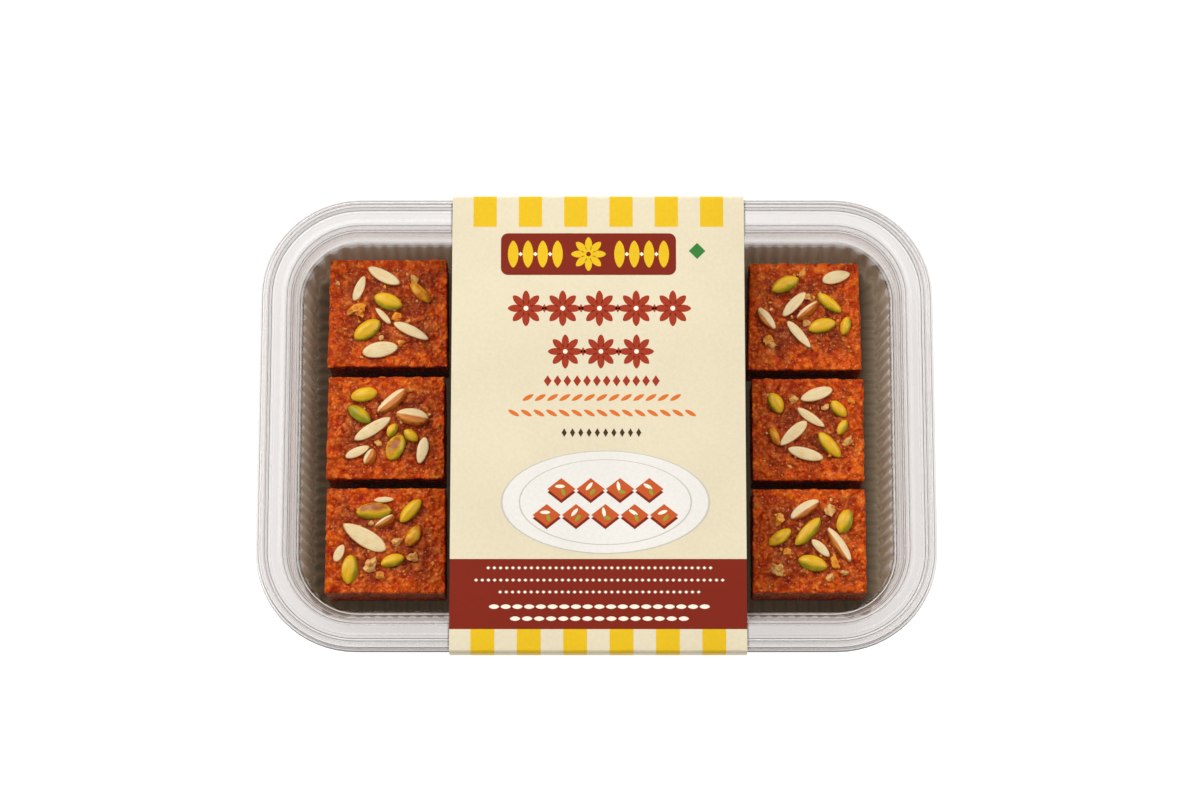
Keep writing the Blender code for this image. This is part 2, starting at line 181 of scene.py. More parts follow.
# The six sweets that the sleeve leaves open: (x, y, width behind, width in front, depth), mm
SHOWN_SWEETS = {
    "barfi_back_1": (-71.4, 40.8, 40.0, 40.9, 37.5),
    "barfi_middle_1": (-71.7, 0.9, 39.6, 40.1, 35.3),
    "barfi_front_1": (-71.4, -37.9, 40.3, 40.6, 35.8),
    "barfi_back_4": (71.2, 39.7, 37.4, 38.9, 37.4),
    "barfi_middle_4": (72.0, 0.3, 38.2, 37.8, 35.2),
    "barfi_front_4": (72.0, -38.0, 38.3, 38.4, 35.4),
}

# Their toppings: (kind, x and y from the sweet's middle, length, width, turn), mm and degrees
SHOWN_TOPPINGS = {
    "barfi_back_1": (
        ("almond", -1.5, 13.0, 12.5, 4.2, -28),
        ("almond", -10.0, 8.5, 9.5, 3.3, 69),
        ("pistachio", 0.0, 4.0, 10.0, 5.5, -20),
        ("gold_pistachio", 11.0, 7.0, 9.5, 3.8, -45),
        ("pistachio", -7.0, -6.0, 10.5, 5.8, 36),
        ("almond", 8.0, -6.5, 13.5, 3.6, -26),
        ("almond", -2.5, -13.0, 12.5, 5.5, 10),
        ("gold_chunk", -12.0, 1.1, 4.4, 3.6, 20),
        ("gold_chunk", -9.2, 2.2, 4.2, 3.4, 70),
        ("gold_chunk", -9.6, 0.3, 3.4, 2.6, -30),
        ("chunk", 8.7, 12.0, 3.6, 2.6, -60),
        ("almond", -1.7, -1.2, 7.6, 2.2, -47),
        ("gold_chunk", 3.0, -1.2, 3.4, 3.2, 20),
        ("chunk", -17.3, 10.4, 1.8, 1.4, -30),
        ("chunk", -2.3, -8.6, 1.8, 1.4, 50),
        ("gold_chunk", 4.6, -10.4, 2.6, 2.2, 10),
    ),
    "barfi_middle_1": (
        ("gold_pistachio", -7.5, 11.3, 9.2, 4.8, 12),

        ("skin_almond", 2.0, 9.0, 12.5, 4.2, 40),
        ("skin_almond", 9.0, 3.5, 11.3, 5.8, -10),
        ("green_pistachio", -9.0, 4.5, 9.2, 4.5, -36),
        ("almond", -4.5, -0.5, 14.5, 4.2, 32),
        ("skin_pistachio", 3.5, -7.0, 9.5, 6.0, 65),
        ("almond", -9.5, -8.5, 9.0, 3.2, 24),
        ("almond", 12.5, -8.0, 9.5, 3.9, 78),
        ("pistachio", 2.2, -1.0, 5.2, 3.2, 60),
        ("pistachio", 8.6, -2.9, 5.8, 3.6, -38),
        ("chunk", -2.8, -5.4, 2.7, 2.2, 15),
        ("skin_almond", -5.2, -10.3, 6.0, 3.4, 62),
    ),
    "barfi_front_1": (
        ("skin_pistachio", -4.0, 10.0, 12.0, 5.5, 3),
        ("pistachio", 8.5, 10.0, 10.2, 4.5, 48),
        ("almond", -7.0, 1.0, 17.0, 6.1, -31),
        ("gold_pistachio", 9.5, 1.5, 8.0, 4.4, 60),
        ("almond", -15.5, -4.5, 6.5, 3.2, 65),
        ("pistachio", -12.0, -10.0, 10.0, 5.5, 85),
        ("pistachio", 2.5, -7.0, 8.2, 4.2, 18),
        ("chunk", -4.6, -8.5, 5.0, 4.0, 40),
        ("almond", -0.6, 13.8, 6.8, 2.0, 3),
        ("skin_almond", -0.2, 6.3, 7.5, 2.2, 32),
        ("chunk", -5.2, 5.6, 2.4, 2.0, 0),
        ("chunk", 3.9, -0.6, 3.8, 3.0, 25),
        ("chunk", 9.1, -5.8, 4.1, 3.2, -20),
        ("gold_chunk", -1.7, -12.4, 4.1, 3.2, 0),
    ),
    "barfi_back_4": (
        ("pistachio", -6.5, 11.0, 10.2, 5.1, 26),
        ("almond", 11.0, 13.5, 10.0, 4.4, 14),
        ("almond", -3.5, 4.0, 11.6, 3.7, 47),
        ("pistachio", 8.5, 4.5, 10.2, 3.9, -40),
        ("edge_almond", -13.0, -1.0, 9.2, 3.8, -52),
        ("pistachio", 6.0, -3.5, 9.5, 5.1, 15),
        ("pistachio", 14.0, -3.5, 6.5, 3.5, 75),
        ("almond", -2.0, -6.5, 12.3, 3.3, -50),
        ("skin_almond", 1.2, 1.7, 9.4, 2.6, 40),
        ("gold_chunk", -12.5, -8.3, 3.6, 2.6, 60),
        ("chunk", -11.4, -9.8, 3.0, 2.2, -20),
        ("chunk", 0.4, -2.7, 2.9, 2.3, 0),
        ("chunk", 1.4, 6.6, 3.2, 2.2, -30),
        ("gold_chunk", -0.1, 14.8, 4.2, 2.4, 78),
    ),
    "barfi_middle_4": (
        ("pistachio", -11.0, 9.0, 7.8, 4.8, -62),
        ("almond", 3.0, 12.0, 11.6, 4.4, 18),
        ("almond", 1.0, 4.0, 11.3, 3.1, -35),
        ("pistachio", 10.5, 7.0, 7.2, 4.1, -48),
        ("almond", -5.0, -1.5, 12.3, 4.2, 42),
        ("gold_pistachio", -11.5, -2.5, 6.8, 3.0, -65),
        ("pistachio", 7.2, -5.5, 11.0, 4.5, -50),
        ("almond", -1.0, -8.5, 12.6, 4.2, -15),
        ("pistachio", 11.6, 0.6, 5.8, 3.1, 62),
        ("chunk", -4.6, 10.5, 2.7, 2.2, 0),
        ("chunk", 5.6, 7.4, 3.1, 2.4, 30),
        ("chunk", 13.2, -4.0, 3.4, 2.6, 60),
        ("gold_chunk", 14.8, 9.8, 2.7, 2.2, 0),
    ),
    "barfi_front_4": (
        ("edge_almond", -1.5, 10.5, 11.3, 4.4, 33),
        ("pistachio", 12.0, 6.5, 8.5, 5.1, 70),
        ("pistachio", -0.5, 3.0, 12.6, 4.5, 48),
        ("gold_pistachio", -10.0, 1.0, 9.2, 4.2, 35),
        ("edge_almond", 10.0, -1.5, 13.6, 3.8, -57),
        ("almond", 3.7, -2.7, 8.3, 3.1, -45),
        ("pistachio", 1.0, -7.8, 10.2, 5.1, -16),
        ("chunk", -10.5, -10.0, 5.5, 4.0, -20),
        ("chunk", 7.2, 10.1, 4.6, 3.2, -60),
        ("gold_chunk", -7.5, -3.9, 2.6, 2.2, 0),
        ("gold_chunk", 8.4, -7.2, 4.8, 2.7, -70),
        ("chunk", 11.6, -11.1, 3.0, 2.4, 0),
        ("chunk", 7.2, -12.6, 2.7, 2.2, 30),
        ("gold_chunk", -9.8, 7.0, 4.6, 3.6, 50),
    ),
}

# Toppings of the sweets under the sleeve: one to a cell of a jittered 3 by 3 grid
HIDDEN_WIDTH = (38.3, 40.3)
HIDDEN_DEPTH = (35.2, 36.2)
HIDDEN_SHIFT_X = 0.4
HIDDEN_SHIFT_Y = 0.3
HIDDEN_TOPPINGS = 7
CELL_X = 11.5
CELL_Y = 10.5
CELL_JITTER = 2.0
HIDDEN_LENGTH = (8.5, 13.0)
HIDDEN_SLIMNESS = {"almond": 0.34, "pistachio": 0.5}

# Thickness of each topping in millimetres, how high its middle lies over the sweet's top, and
# how far it leans over its long axis in degrees
TOPPING_THICKNESS = {
    "almond": 1.5, "skin_almond": 2.6, "edge_almond": 2.1, "pistachio": 3.4, "chunk": 0.65,
}
TOPPING_LIFT = {
    "almond": 0.4, "skin_almond": 0.5, "edge_almond": 0.45, "pistachio": 0.5, "chunk": 0.35,
}
TOPPING_LEAN = {"almond": 0, "skin_almond": 24, "edge_almond": 14, "pistachio": 0, "chunk": 0}
SKIN_FROM = {"skin_almond": 0.0, "edge_almond": -0.15}
LEAN_JITTER = 6.0
TIP_JITTER = 2.5

# The scatter of tiny nut crumbs on each sweet, in millimetres
CRUMBS = 16
CRUMB_SIZES = (0.5, 1.2)
CRUMB_REACH = 0.42


# Painted light: the floor glows round the pack, and fades to almost nothing under its well as a painted shadow
SHADE_MIDDLE = Vector((0.0, 5.1)) * MM
SHADE_X = 102.0 * MM
SHADE_Y = 64.2 * MM
SHADE_CORNER = 20.0 * MM
SHADE_FADE = 2.5 * MM
FLOOR_GLOW = 0.95
WELL_GLOW = 0.06

# Painted light: it also glows a little under the well's walls, seen through them: (axis, where the wall's top is
# seen, how far in the glow reaches, its strength there)
WALL_GLOWS = (
    ("X", -102.0 * MM, 3.8 * MM, 0.34),
    ("X", 102.0 * MM, 10.0 * MM, 0.62),
    ("Y", 69.5 * MM, 5.0 * MM, 0.34),


)


def linear(red, green, blue):
    """A colour from the 0 to 255 values that a screen shows."""
    values = (value / 255 for value in (red, green, blue))
    return (*(v / 12.92 if v <= 0.04045 else ((v + 0.055) / 1.055) ** 2.4 for v in values), 1.0)


def add_node(tree, kind, inputs=None, **settings):
    """Adds a shader node. An input's value is a number, a colour or another node's output."""
    made = tree.nodes.new("ShaderNode" + kind)
    for name, value in settings.items():
        setattr(made, name, value)
    for key, value in (inputs or {}).items():
        if isinstance(value, bpy.types.NodeSocket):
            tree.links.new(value, made.inputs[key])
        else:
            made.inputs[key].default_value = value
    return made


def new_material(name):
    """A material with an empty node tree and its output."""
    material = bpy.data.materials.new(name)
    material.use_nodes = True
    tree = material.node_tree
    tree.nodes.clear()
    return material, tree, tree.nodes.new("ShaderNodeOutputMaterial")


def object_place(tree):
    return add_node(tree, "TexCoord").outputs["Object"]


def ramp(tree, key, stops):
    """A colour ramp from (place, colour) stops, whose colours are 0 to 255."""
    made = add_node(tree, "ValToRGB", {"Fac": key})
    elements = made.color_ramp.elements
    while len(elements) < len(stops):
        elements.new(0.5)
    for element, (place, colour) in zip(elements, stops):
        element.position = place
        element.color = linear(*colour)
    return made.outputs["Color"]


def mix_colours(tree, share, first, second, blend="MIX"):
    made = add_node(tree, "Mix", data_type="RGBA", blend_type=blend)
    for number, value in ((0, share), (6, first), (7, second)):
        if isinstance(value, bpy.types.NodeSocket):
            tree.links.new(value, made.inputs[number])
        else:
            made.inputs[number].default_value = value
    return made.outputs[2]


def math_node(tree, operation, *values, clamp=False):
    inputs = dict(enumerate(values))
    return add_node(tree, "Math", inputs, operation=operation, use_clamp=clamp).outputs[0]


def map_range(tree, value, start, end, low=0.0, high=1.0, kind="LINEAR"):
    inputs = {"Value": value, "From Min": start, "From Max": end, "To Min": low, "To Max": high}
    return add_node(tree, "MapRange", inputs, interpolation_type=kind).outputs["Result"]


def noise_value(tree, place, scale, detail=3.0, distortion=0.0):
    inputs = {"Vector": place, "Scale": scale, "Detail": detail, "Distortion": distortion}
    return add_node(tree, "TexNoise", inputs).outputs["Fac"]


def bump(tree, height, strength, distance, normal=None):
    inputs = {"Height": height, "Strength": strength, "Distance": distance}
    if normal is not None:
        inputs["Normal"] = normal
    return add_node(tree, "Bump", inputs).outputs["Normal"]


def finish_shader(tree, output, inputs):
    shader = add_node(tree, "BsdfPrincipled", inputs)
    tree.links.new(shader.outputs["BSDF"], output.inputs["Surface"])
    return shader


def barfi_material():
    """Moist grated carrot: grains of orange and red, browner and duller towards the middle, partly from oil and
    partly as painted shade, with painted shade down in its pits and on its sides, painted highlights on its crests
    and painted glints."""
    material, tree, output = new_material("barfi_crumb")
    place = object_place(tree)
    swirl = noise_value(tree, place, 330.0, 4.0, 0.4)
    patches = noise_value(tree, place, 150.0, 2.0)
    cells = add_node(tree, "TexVoronoi", {"Vector": place, "Scale": 1 / SPECK_SIZE})
    grain = add_node(tree, "SeparateColor", {"Color": cells.outputs["Color"]}).outputs["Red"]
    relief = add_node(tree, "Attribute", attribute_name="relief").outputs["Fac"]
    oil_and_shade = add_node(tree, "Attribute", attribute_name="oil_and_shade").outputs["Fac"]
    rounded = map_range(tree, cells.outputs["Distance"], 0.15, 0.75, 1.0, 0.0)
    key = math_node(tree, "MULTIPLY_ADD", grain, 0.14, math_node(tree, "MULTIPLY", swirl, 0.62))
    key = math_node(tree, "MULTIPLY_ADD", rounded, 0.15, math_node(tree, "ADD", key, 0.045))

    bright = ramp(tree, key, (
        (0.24, (196, 48, 0)),
        (0.38, (224, 76, 4)),
        (0.50, (240, 102, 14)),
        (0.62, (250, 132, 34)),
        (0.76, (255, 176, 88)),
    ))
    dull = ramp(tree, key, (
        (0.24, (120, 36, 8)),
        (0.38, (150, 54, 17)),
        (0.50, (176, 78, 30)),
        (0.62, (202, 110, 52)),
        (0.76, (240, 174, 120)),
    ))
    # Browner and duller towards the middle: partly oil, partly painted shade.
    share = math_node(tree, "MULTIPLY_ADD", patches, 1.6, math_node(tree, "ADD", oil_and_shade, -1.0), clamp=True)
    colour = mix_colours(tree, share, bright, dull)
    side = add_node(tree, "Attribute", attribute_name="side").outputs["Fac"]
    # Painted shade down in the pits, a painted highlight on the crests, and painted shade on the sides.
    depth = map_range(tree, relief, 0.2, 0.85, 1.0, 0.0)
    crest_highlight = map_range(tree, relief, 1.05, 1.45, 0.0, CREST_LIGHT)
    colour = mix_colours(tree, crest_highlight, colour, linear(252, 158, 88))
    for share, shade in ((depth, (195, 157, 117)), (side, (160, 122, 76))):
        shaded = mix_colours(tree, 1.0, colour, linear(*shade), "MULTIPLY")
        colour = mix_colours(tree, share, colour, shaded)
    # Painted glints: small pale highlights on the crumb.
    glint = map_range(tree, noise_value(tree, place, GLINT_SCALE, 1.0), 0.64, 0.72, 0.0, GLINT_SHARE)
    colour = mix_colours(tree, glint, colour, linear(252, 200, 158))
    lumps = math_node(tree, "SUBTRACT", 1.0, cells.outputs["Distance"])
    fine = math_node(tree, "MULTIPLY_ADD", noise_value(tree, place, 1900.0, 2.0), 0.4, lumps)
    normal = bump(tree, fine, 0.6, 0.25 * MM)
    roughness = map_range(tree, noise_value(tree, place, 700.0, 1.0), 0.35, 0.65, 0.2, 0.5)
    finish_shader(tree, output, {
        "Base Color": colour, "Roughness": roughness, "Normal": normal, "Specular IOR Level": 0.08,
    })
    return material


def grey_of(tree, value):
    inputs = {"Red": value, "Green": value, "Blue": value}
    return add_node(tree, "CombineColor", inputs).outputs["Color"]


def nut_attributes(tree):
    names = ("tone", "skin", "along", "across")
    return [add_node(tree, "Attribute", attribute_name=name).outputs["Fac"] for name in names]


def almond_material():
    """Cut almond: cream with a faint lengthwise grain, and brown skin along its edge."""
    material, tree, output = new_material("almond")
    place = object_place(tree)
    tone, skin, along, across = nut_attributes(tree)
    drawn = add_node(tree, "CombineXYZ", {"X": along, "Y": across, "Z": tone}).outputs["Vector"]
    grain = noise_value(tree, drawn, 1.0, 3.0)
    blotch = noise_value(tree, place, 500.0, 2.0)
    key = math_node(tree, "MULTIPLY_ADD", grain, 0.7, math_node(tree, "MULTIPLY", blotch, 0.3))
    cream = ramp(tree, key, (
        (0.30, (250, 210, 142)),
        (0.50, (255, 233, 180)),
        (0.70, (255, 246, 212)),

    ))
    brown = ramp(tree, grain, ((0.3, (182, 84, 4)), (0.7, (234, 150, 40))))
    share = map_range(tree, math_node(tree, "MULTIPLY_ADD", blotch, 0.3, skin), 0.5, 0.95)
    colour = mix_colours(tree, share, cream, brown)
    normal = bump(tree, key, 0.35, 0.12 * MM)
    finish_shader(tree, output, {
        "Base Color": colour, "Roughness": 0.42, "Normal": normal, "Subsurface Weight": 0.12,
        "Subsurface Radius": (1.0, 0.7, 0.4), "Subsurface Scale": 0.6 * MM,
    })
    return material


def pistachio_material():
    """Pistachio kernels: gold on the crest, green down the sides, with rests of brown skin."""
    material, tree, output = new_material("pistachio")
    place = object_place(tree)
    tone, skin, along, across = nut_attributes(tree)
    drawn = add_node(tree, "CombineXYZ", {"X": along, "Y": across, "Z": tone}).outputs["Vector"]
    streaks = noise_value(tree, drawn, 1.0, 3.0)
    blotch = noise_value(tree, place, 420.0, 3.0)
    wander = math_node(tree, "MULTIPLY_ADD", blotch, 1.0, math_node(tree, "ADD", skin, -0.5))
    gold = ramp(tree, streaks, ((0.3, (236, 176, 4)), (0.7, (255, 214, 36))))
    green = ramp(tree, streaks, ((0.3, (126, 138, 8)), (0.7, (184, 182, 24))))

    rust = ramp(tree, streaks, ((0.3, (196, 90, 0)), (0.7, (228, 138, 6))))
    bare = mix_colours(tree, map_range(tree, wander, 0.45, 1.0), gold, green)
    rusty = map_range(tree, math_node(tree, "MULTIPLY_ADD", blotch, 0.8, tone), 1.05, 1.3)
    colour = mix_colours(tree, rusty, bare, rust)
    husk = ramp(tree, streaks, ((0.3, (150, 66, 4)), (0.7, (210, 118, 24))))
    husked = mix_colours(tree, map_range(tree, wander, 0.1, 0.45), husk, bare)
    colour = mix_colours(tree, map_range(tree, tone, 1.4, 1.6), colour, husked)
    normal = bump(tree, streaks, 0.4, 0.15 * MM)
    finish_shader(tree, output, {
        "Base Color": colour, "Roughness": 0.34, "Normal": normal, "Subsurface Weight": 0.1,
        "Subsurface Radius": (1.0, 0.8, 0.2), "Subsurface Scale": 0.6 * MM,
    })
    return material


def chunk_material():
    """Broken nut: cream or golden crumbs, as their tone says."""
    material, tree, output = new_material("nut_chunk")
    place = object_place(tree)
    tone = nut_attributes(tree)[0]
    blotch = noise_value(tree, place, 700.0, 3.0)
    cream = ramp(tree, blotch, ((0.3, (196, 120, 36)), (0.62, (246, 204, 124))))
    golden = ramp(tree, blotch, ((0.3, (232, 112, 0)), (0.65, (255, 180, 20))))
    colour = mix_colours(tree, tone, cream, golden)
    normal = bump(tree, blotch, 0.5, 0.2 * MM)
    finish_shader(tree, output, {"Base Color": colour, "Roughness": 0.45, "Normal": normal})
    return material


def film_material(name, clear, slanted, well_shade, haze, rim_haze, shine):
    """Formed clear film: darker and hazier where it is seen at a slant, with painted shade down in the well, painted
    dark lines and painted highlights along its bends, a painted shadow next to each end of the sleeve, and a sheen
    that grows on its bends. The colour that it takes on down in the well is that painted shade, and haze and rim_haze
    are the shares of light that it scatters at a slant there and above."""
    rim_foot = 28.0 * MM
    material, tree, output = new_material(name)
    place = object_place(tree)
    facing = add_node(tree, "LayerWeight", {"Blend": 0.5}).outputs["Facing"]
    slant = math_node(tree, "POWER", facing, 1.6)
    edge_on = math_node(tree, "POWER", facing, 2.5)
    fold = add_node(tree, "Attribute", attribute_name="fold").outputs["Fac"]
    # Painted shadow: a dark line on the film next to each end of the sleeve.
    across = math_node(tree, "SUBTRACT", add_node(tree, "SeparateXYZ", {"Vector": place}).outputs["X"], SLEEVE_MIDDLE)
    from_sleeve = math_node(tree, "SUBTRACT", math_node(tree, "ABSOLUTE", across), SLEEVE_LENGTH / 2)
    sleeve_shadow = map_range(tree, math_node(tree, "ABSOLUTE", from_sleeve), 0.0, SLEEVE_SHADOW_REACH, SLEEVE_SHADOW_SHARE, 0.0)
    # Painted dark lines along the bends, with the sleeve's painted shadow, and painted highlights along the bends.
    painted_dark_line = math_node(tree, "MAXIMUM", map_range(tree, fold, 0.0, 1.0), sleeve_shadow)
    painted_highlight = map_range(tree, fold, 0.0, -1.0, 0.0, PAINTED_HIGHLIGHT_SHARE)
    height = add_node(tree, "SeparateXYZ", {"Vector": place}).outputs["Z"]
    # Painted shade: the film darkens down in the well, to a lighter shade on the walls than on the floor.
    wander = math_node(tree, "MULTIPLY", noise_value(tree, place, 90.0, 2.0), 4.0 * MM)
    deep = map_range(tree, math_node(tree, "ADD", height, wander), 30.0 * MM, 23.0 * MM, kind="SMOOTHSTEP")
    tint = mix_colours(tree, edge_on, linear(*clear), linear(*slanted))
    off_floor = map_range(tree, height, 2.0 * MM, 4.0 * MM)
    on_wall = map_range(tree, height, 25.0 * MM, 26.5 * MM, off_floor, 0.0)
    well_shade = mix_colours(tree, on_wall, linear(*well_shade), linear(*WALL_SHADE))
    tint = mix_colours(tree, deep, tint, well_shade)
    tint = mix_colours(tree, painted_dark_line, tint, linear(*PAINTED_LINE_SHADE))
    waves = noise_value(tree, place, 140.0, 2.0)
    normal = bump(tree, waves, 0.12, 1.0 * MM)
    see_through = add_node(tree, "BsdfTransparent", {"Color": tint})
    on_rim = map_range(tree, height, rim_foot - 1.0 * MM, rim_foot + 1.0 * MM)
    pale = mix_colours(tree, on_rim, linear(210, 201, 187), linear(226, 220, 217))
    # Painted highlights: the haze turns near white along them, and its share grows there.
    pale = mix_colours(tree, painted_highlight, pale, linear(252, 251, 250))
    upward = add_node(tree, "CombineXYZ", {"Z": on_wall}).outputs["Vector"]
    leaning = add_node(tree, "VectorMath", {0: normal, 1: upward}, operation="ADD").outputs["Vector"]
    lit_normal = add_node(tree, "VectorMath", {0: leaning}, operation="NORMALIZE").outputs["Vector"]
    veil = add_node(tree, "BsdfDiffuse", {"Color": pale, "Normal": lit_normal})
    fading = map_range(tree, height, 5.0 * MM, 26.0 * MM, 0.45, 1.2)
    fading = math_node(tree, "MULTIPLY", fading, map_range(tree, on_rim, 0.0, 1.0, haze, rim_haze))
    level = map_range(tree, slant, 0.0, WALL_SLANT, 0.0, WALL_SLANT)
    uneven = math_node(tree, "SUBTRACT", level, slant)
    evenness = math_node(tree, "MULTIPLY", on_wall, WALL_EVENNESS)
    scattered = math_node(tree, "MULTIPLY_ADD", uneven, evenness, slant)
    veiled = math_node(tree, "MULTIPLY_ADD", scattered, fading, painted_highlight, clamp=True)
    hazy = add_node(tree, "MixShader", {0: veiled, 1: see_through.outputs[0], 2: veil.outputs[0]})
    gloss = add_node(tree, "BsdfGlossy", {"Color": linear(250, 250, 250), "Roughness": 0.09, "Normal": normal})
    amount = map_range(tree, edge_on, 0.0, 1.0, 0.015, shine)
    mixed = add_node(tree, "MixShader", {0: amount, 1: hazy.outputs[0], 2: gloss.outputs[0]})
    tree.links.new(mixed.outputs[0], output.inputs["Surface"])
    return material


def card_material(name, colour, roughness=0.55):
    """Printed card: one ink over the board's faint fibres."""
    material, tree, output = new_material(name)
    place = object_place(tree)
    fibres = noise_value(tree, place, 900.0, 4.0, 0.5)
    cloud = noise_value(tree, place, 30.0, 2.0)
    light = linear(*colour)
    dark = linear(*(value * 0.965 for value in colour))
    key = math_node(tree, "MULTIPLY_ADD", fibres, 0.5, math_node(tree, "MULTIPLY", cloud, 0.5))
    tint = mix_colours(tree, map_range(tree, key, 0.35, 0.6), dark, light)
    normal = bump(tree, fibres, 0.12, 0.05 * MM)
    finish_shader(tree, output, {
        "Base Color": tint, "Roughness": roughness, "Normal": normal, "Specular IOR Level": 0.15,
    })
    return material


def add_object(name, bm, materials):
    """A new piece of the pack from a bmesh."""
    bmesh.ops.recalc_face_normals(bm, faces=bm.faces)
    mesh = bpy.data.meshes.new(name)
    bm.to_mesh(mesh)
    bm.free()
    for material in materials:
        mesh.materials.append(material)
    obj = bpy.data.objects.new(name, mesh)
    bpy.context.scene.collection.objects.link(obj)
    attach(obj, "root")
    return obj


def smooth(obj, sharp_degrees):
    obj.data.shade_smooth()
    obj.data.set_sharp_from_angle(angle=math.radians(sharp_degrees))


def corner_walk(radius, run, steps):
    """(point, normal) along a corner, from its arc's centre: a straight run along +Y, a quarter
    turn and a straight run along -X, in equal steps."""
    arc = radius * math.pi / 2
    for step in range(steps):
        past_run = (2 * run + arc) * step / steps - run
        angle = min(max(past_run / radius, 0), math.pi / 2)
        normal = Vector((math.cos(angle), math.sin(angle), 0))
        straight = Vector((-max(past_run - arc, 0), min(past_run, 0), 0))
        yield radius * normal + straight, normal


def stations(inset, radius, run, side_steps, corner_steps):
    """Points round the pack's outline moved in by inset, anticlockwise from the +X side. Each is
    (how far round, point, outward normal); a corner and the side after it are a quarter."""
    x = PACK_LENGTH / 2 - inset - radius
    y = PACK_WIDTH / 2 - inset - radius
    turns = [Matrix.Rotation(quarter * math.pi / 2, 3, "Z") for quarter in range(4)]
    centres = [Vector(at) for at in ((x, y, 0), (-x, y, 0), (-x, -y, 0), (x, -y, 0))]
    found = []
    for quarter, (turn, centre) in enumerate(zip(turns, centres)):
        for step, (point, normal) in enumerate(corner_walk(radius, run, corner_steps)):
            found.append((quarter + 0.5 * step / corner_steps, centre + turn @ point, turn @ normal))
        after = (quarter + 1) % 4
        start = centre + turn @ Vector((-run, radius, 0))
        end = centres[after] + turns[after] @ Vector((radius, -run, 0))
        steps = side_steps[quarter % 2]
        for step in range(steps):
            share = step / steps
            normal = turn @ Vector((0, 1, 0))
            found.append((quarter + 0.5 + share / 2, start.lerp(end, share), normal))
    return found


def ring_point(bm, place, height, fold):
    """A film's vertex, with the strength of the painted dark line (above 0) or painted highlight (below 0) that the
    film shows there.
    """
    vertex = bm.verts.new((place.x, place.y, height))
    vertex[bm.verts.layers.float["fold"]] = fold
    return vertex


def smooth_ring(bm, inset, height, fold):
    """A plain ring of the outline, with a point only where the outline bends. The painted dark line of the cut edge
    shows most at the front, and the painted lines next to the well least at the back."""
    ring = []
    for way, point, normal in stations(inset, PACK_CORNER - inset, 0, (1, 1), CORNER_STEPS):
        shown = 1.0
        if inset < CUT_EDGE:
            shown = CUT_EDGE_SHARE + (1 - CUT_EDGE_SHARE) * max(-normal.y, 0)
        elif inset > WELL_SIDE:
            shown = 1 - (1 - BACK_LINE_SHARE) * max(normal.y, 0)
        ring.append((way, ring_point(bm, point, height, fold * shown)))
    return ring


def flute_counts():
    corners = 2 * (WELL_EDGE_INSET + WELL_EDGE_CORNER)
    return [round((side - corners) / FLUTE_PITCH) for side in (PACK_LENGTH, PACK_WIDTH)]


def fluted_ring(
    bm, inset, radius, height, depth, corner_depth, folds=(0.0, 0.0), long_share=1.0, streak=0.0
):
    """A ring that waves out and in once for each flute. Its sides' flutes stand straight under those of the well's
    edge, and the corner's share what is left, growing to its middle. folds are the strengths of its painted lines
    (dark above 0, highlight below 0) at the ends and at the front, to which each wave adds a painted streak of
    strength streak, dark where it bulges out and light where it bulges in. Along the two long sides the waves are
    only long_share as deep."""
    run = WELL_EDGE_INSET + WELL_EDGE_CORNER - inset - radius
    columns = [FLUTE_COLUMNS * count for count in flute_counts()]
    ring = []
    for number, station in enumerate(
        stations(inset, radius, run, columns, FLUTE_COLUMNS * CORNER_FLUTES)
    ):
        way, point, normal = station
        into_corner = math.sin(math.pi * min((way % 1) * 2, 1.0))
        reach = depth + (corner_depth - depth) * math.sqrt(max(into_corner, 0))
        reach *= 1 - (1 - long_share) * normal.y ** 4
        wave = math.cos(2 * math.pi * number / FLUTE_COLUMNS)
        wave = math.copysign(abs(wave) ** FLUTE_ROUNDNESS, wave)
        place = point + normal * wave * reach / 2
        fold = folds[0] * (1 - (1 - BACK_LINE_SHARE) * max(normal.y, 0))
        fold += (folds[1] - fold) * max(-normal.y, 0) ** 2 + streak * wave
        ring.append((way, ring_point(bm, place, height, fold)))
    return ring


def bridge(bm, first, second):
    """Fills the band between two rings, which may differ in how many points they have."""
    if len(first) == len(second):
        for i, (_, corner) in enumerate(first):
            after = (i + 1) % len(first)
            bm.faces.new((corner, first[after][1], second[after][1], second[i][1]))
        return
    i = j = 0
    while i < len(first) or j < len(second):
        here = first[i % len(first)][1]
        there = second[j % len(second)][1]
        next_first = first[i + 1][0] if i + 1 < len(first) else 4
        next_second = second[j + 1][0] if j + 1 < len(second) else 4
        if j == len(second) or (i < len(first) and next_first <= next_second):
            i += 1
            bm.faces.new((here, first[i % len(first)][1], there))
        else:
            j += 1
            bm.faces.new((here, second[j % len(second)][1], there))


def loft(bm, rings):
    """A closed shell through the rings, with a flat face on the first and the last."""
    for first, second in zip(rings, rings[1:]):
        bridge(bm, first, second)
    bm.faces.new([vertex for _, vertex in rings[0]])
    bm.faces.new([vertex for _, vertex in rings[-1]])


def offset_profile(profile, distance):
    """A profile of (inset, height) moved by distance to its under side, with mitred corners."""
    points = [Vector(point) for point in profile]
    normals = []
    for a, b in zip(points, points[1:]):
        along = (b - a).normalized()
        normals.append(Vector((along.y, -along.x)))
    moved = [points[0] + normals[0] * distance]
    for point, before, after in zip(points[1:-1], normals, normals[1:]):
        moved.append(point + (before + after) * distance / (1 + before.dot(after)))
    moved.append(points[-1] + normals[-1] * distance)
    return moved


